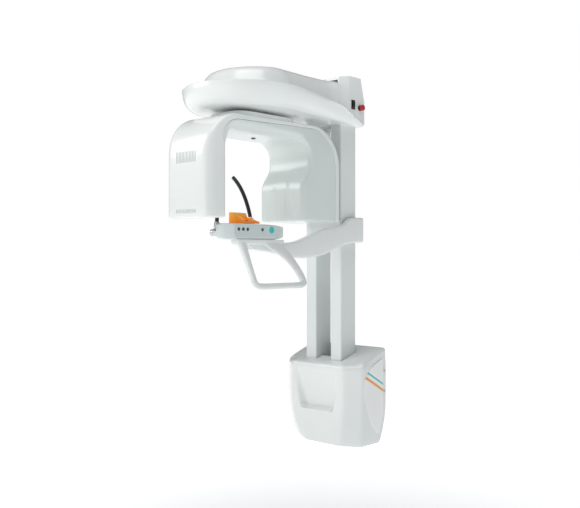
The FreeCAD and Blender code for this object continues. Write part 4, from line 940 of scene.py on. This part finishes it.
BOOM = [  # outer face x, y, lower and upper edge, thickness
    (0.120, -0.0500, 0.602, 0.700, 0.024), (0.120, -0.1200, 0.598, 0.696, 0.024),
    (0.119, -0.1760, 0.588, 0.668, 0.024), (0.116, -0.3000, 0.550, 0.646, 0.024),
    (0.102, -0.4200, 0.542, 0.602, 0.030), (0.076, -0.5200, 0.562, 0.599, 0.041),
    (0.064, -0.6100, 0.574, 0.602, 0.053)]


def support_boom():
    """The cast boom from the column's side to under the panel, deep at its root and flat at its tip."""
    rings = []
    path = through(BOOM, 8)
    heading = np.gradient(path[:, :2], axis=0)
    for (x, y, low, high, thick), (dx, dy) in zip(path, heading):
        turn = math.hypot(dx, dy)
        across = (-dy / turn, dx / turn)
        tall = (high - low) / 2
        edge = min(thick, tall) * 0.42
        corners = [(0.0, tall), (0.0, -tall), (-thick, -tall), (-thick, tall)]
        ring = rounded_outline(corners, [edge, edge, edge * 0.6, edge * 0.6], 6)
        rings.append([(x + across[0] * a, y + across[1] * a, (low + high) / 2 + b) for a, b in ring])
    boom = lofted("boom", rings)
    play = 0.0005
    room = ((-POST_OUT - play, POST_OUT + play), (POST_FRONT - play, POST_BACK + play), (0.5, 0.8))
    cut_away(boom, cutter_of("posts_room", [room]))
    foot_rings = []
    for z, inset in ((0.5825, 0.006), (0.5835, 0.0025), (0.586, 0.0), (0.6052, 0.0), (UNDER_PANEL, 0.0008)):
        left, right, front, rear = 0.018 + inset, 0.058 - inset, -0.640 + inset, -0.550 - inset
        corners = [(left, front), (right, front), (right, rear), (left, rear)]
        foot_rings.append([(x, y, z) for x, y in rounded_outline(corners, [0.008] * 4, 5)])
    place(boom, "column", "boom_white", "support_boom")
    place(lofted("boom_foot", foot_rings), "column", "boom_white", "support_boom")


for make in (arch_outer_shell, arch_inner_liner, neck_ring, overhead_bowl, overhead_lid, lower_cover,
             side_trims, key_panel, key_film, handle, support_boom):
    make()


# ------------------------------------------------------------------ camera, light and floor

IMAGE_WIDE, FOCAL = 580, 825     # picture width, and how far off the lens stands in the same measure
EYE = (2.131, -2.631, 0.557)
MIDDLE = -0.4                    # y of the object's middle, which the lamps turn to
FLOOR_LEVEL, FLOOR_REACH = -0.78, 120.0


def camera():
    """A camera at the object's three-quarter right, a little below its middle, lens level."""
    data = bpy.data.cameras.new("camera")
    data.lens = FOCAL * data.sensor_width / IMAGE_WIDE
    eye = bpy.data.objects.new("camera", data)
    eye.location = EYE
    eye.rotation_euler = (math.radians(90), 0, math.radians(43))
    SCENE.collection.objects.link(eye)
    SCENE.camera = eye


def soft_light(name, at, towards, size, power, colour=(1, 1, 1)):
    """A large soft lamp; towards is the point that it faces."""
    data = bpy.data.lights.new(name, "AREA")
    data.shape, data.size, data.size_y = "RECTANGLE", size[0], size[1]
    data.energy, data.color = power, colour
    lamp = bpy.data.objects.new(name, data)
    lamp.location = at
    lamp.rotation_euler = (Vector(towards) - Vector(at)).to_track_quat("-Z", "Y").to_euler()
    SCENE.collection.objects.link(lamp)


def white_room():
    """A plain white surround: full white to the eye, dimmer as light."""
    world = bpy.data.worlds.new("room")
    SCENE.world = world
    world.use_nodes = True
    tree = world.node_tree
    glow = tree.nodes["Background"]
    glow.inputs["Color"].default_value = (0.93, 0.97, 1.0, 1)
    glow.inputs["Strength"].default_value = 0.24
    backdrop = tree.nodes.new("ShaderNodeBackground")
    backdrop.inputs["Color"].default_value = (1, 1, 1, 1)
    backdrop.inputs["Strength"].default_value = 1.0
    sight = tree.nodes.new("ShaderNodeLightPath")
    choose = tree.nodes.new("ShaderNodeMixShader")
    tree.links.new(sight.outputs["Is Camera Ray"], choose.inputs[0])
    tree.links.new(glow.outputs[0], choose.inputs[1])
    tree.links.new(backdrop.outputs[0], choose.inputs[2])
    tree.links.new(choose.outputs[0], tree.nodes["World Output"].inputs["Surface"])


def floor():
    """A pale floor that glows white far off, with a painted soft shadow of grey under the object."""
    finish = Finish("floor", (0.9, 0.9, 0.9), 0.85)
    east, north, _ = finish.axes()
    square = east * east + (north - MIDDLE) * (north - MIDDLE)
    away = (square.math("SQRT", square) - 1.0) / 2.0
    near = away.math("MINIMUM", away.math("MAXIMUM", away, 0.0), 1.0)
    # painted shadow: the glow dims to grey within three metres of the object's middle, darkest inside one
    # metre
    glow = finish.blend(near, (0.40, 0.42, 0.42), (0.95, 0.95, 0.95))
    cloud = finish.noise(1.5, 2)
    tone = finish.blend(cloud, (0.93, 0.93, 0.93), (0.95, 0.95, 0.95))
    finish.set(base_color=tone, emission_color=glow, emission_strength=0.90)
    reach = FLOOR_REACH
    corners = [(-reach, -reach), (reach, -reach), (reach, reach), (-reach, reach)]
    plane = mesh_piece("floor", [(x, y, FLOOR_LEVEL) for x, y in corners], [(0, 1, 2, 3)])
    plane.data.materials.append(finish.material)


def studio():
    camera()
    white_room()
    floor()
    SCENE.view_settings.view_transform = "Standard"
    soft_light("key", (-2.6, -3.4, 2.6), (0, MIDDLE, 0.6), (2.4, 2.4), 66, (1.0, 0.99, 0.97))
    soft_light("front_fill", (-0.4, -4.0, 1.0), (0, MIDDLE, 0.6), (2.6, 2.6), 10)
    soft_light("top", (0.7, -1.3, 3.6), (0, MIDDLE, 1.0), (2.2, 2.2), 46)
    soft_light("right_fill", (3.6, -0.8, 1.2), (0, -0.3, 0.5), (1.8, 2.6), 3, (0.95, 0.99, 1.0))


studio()
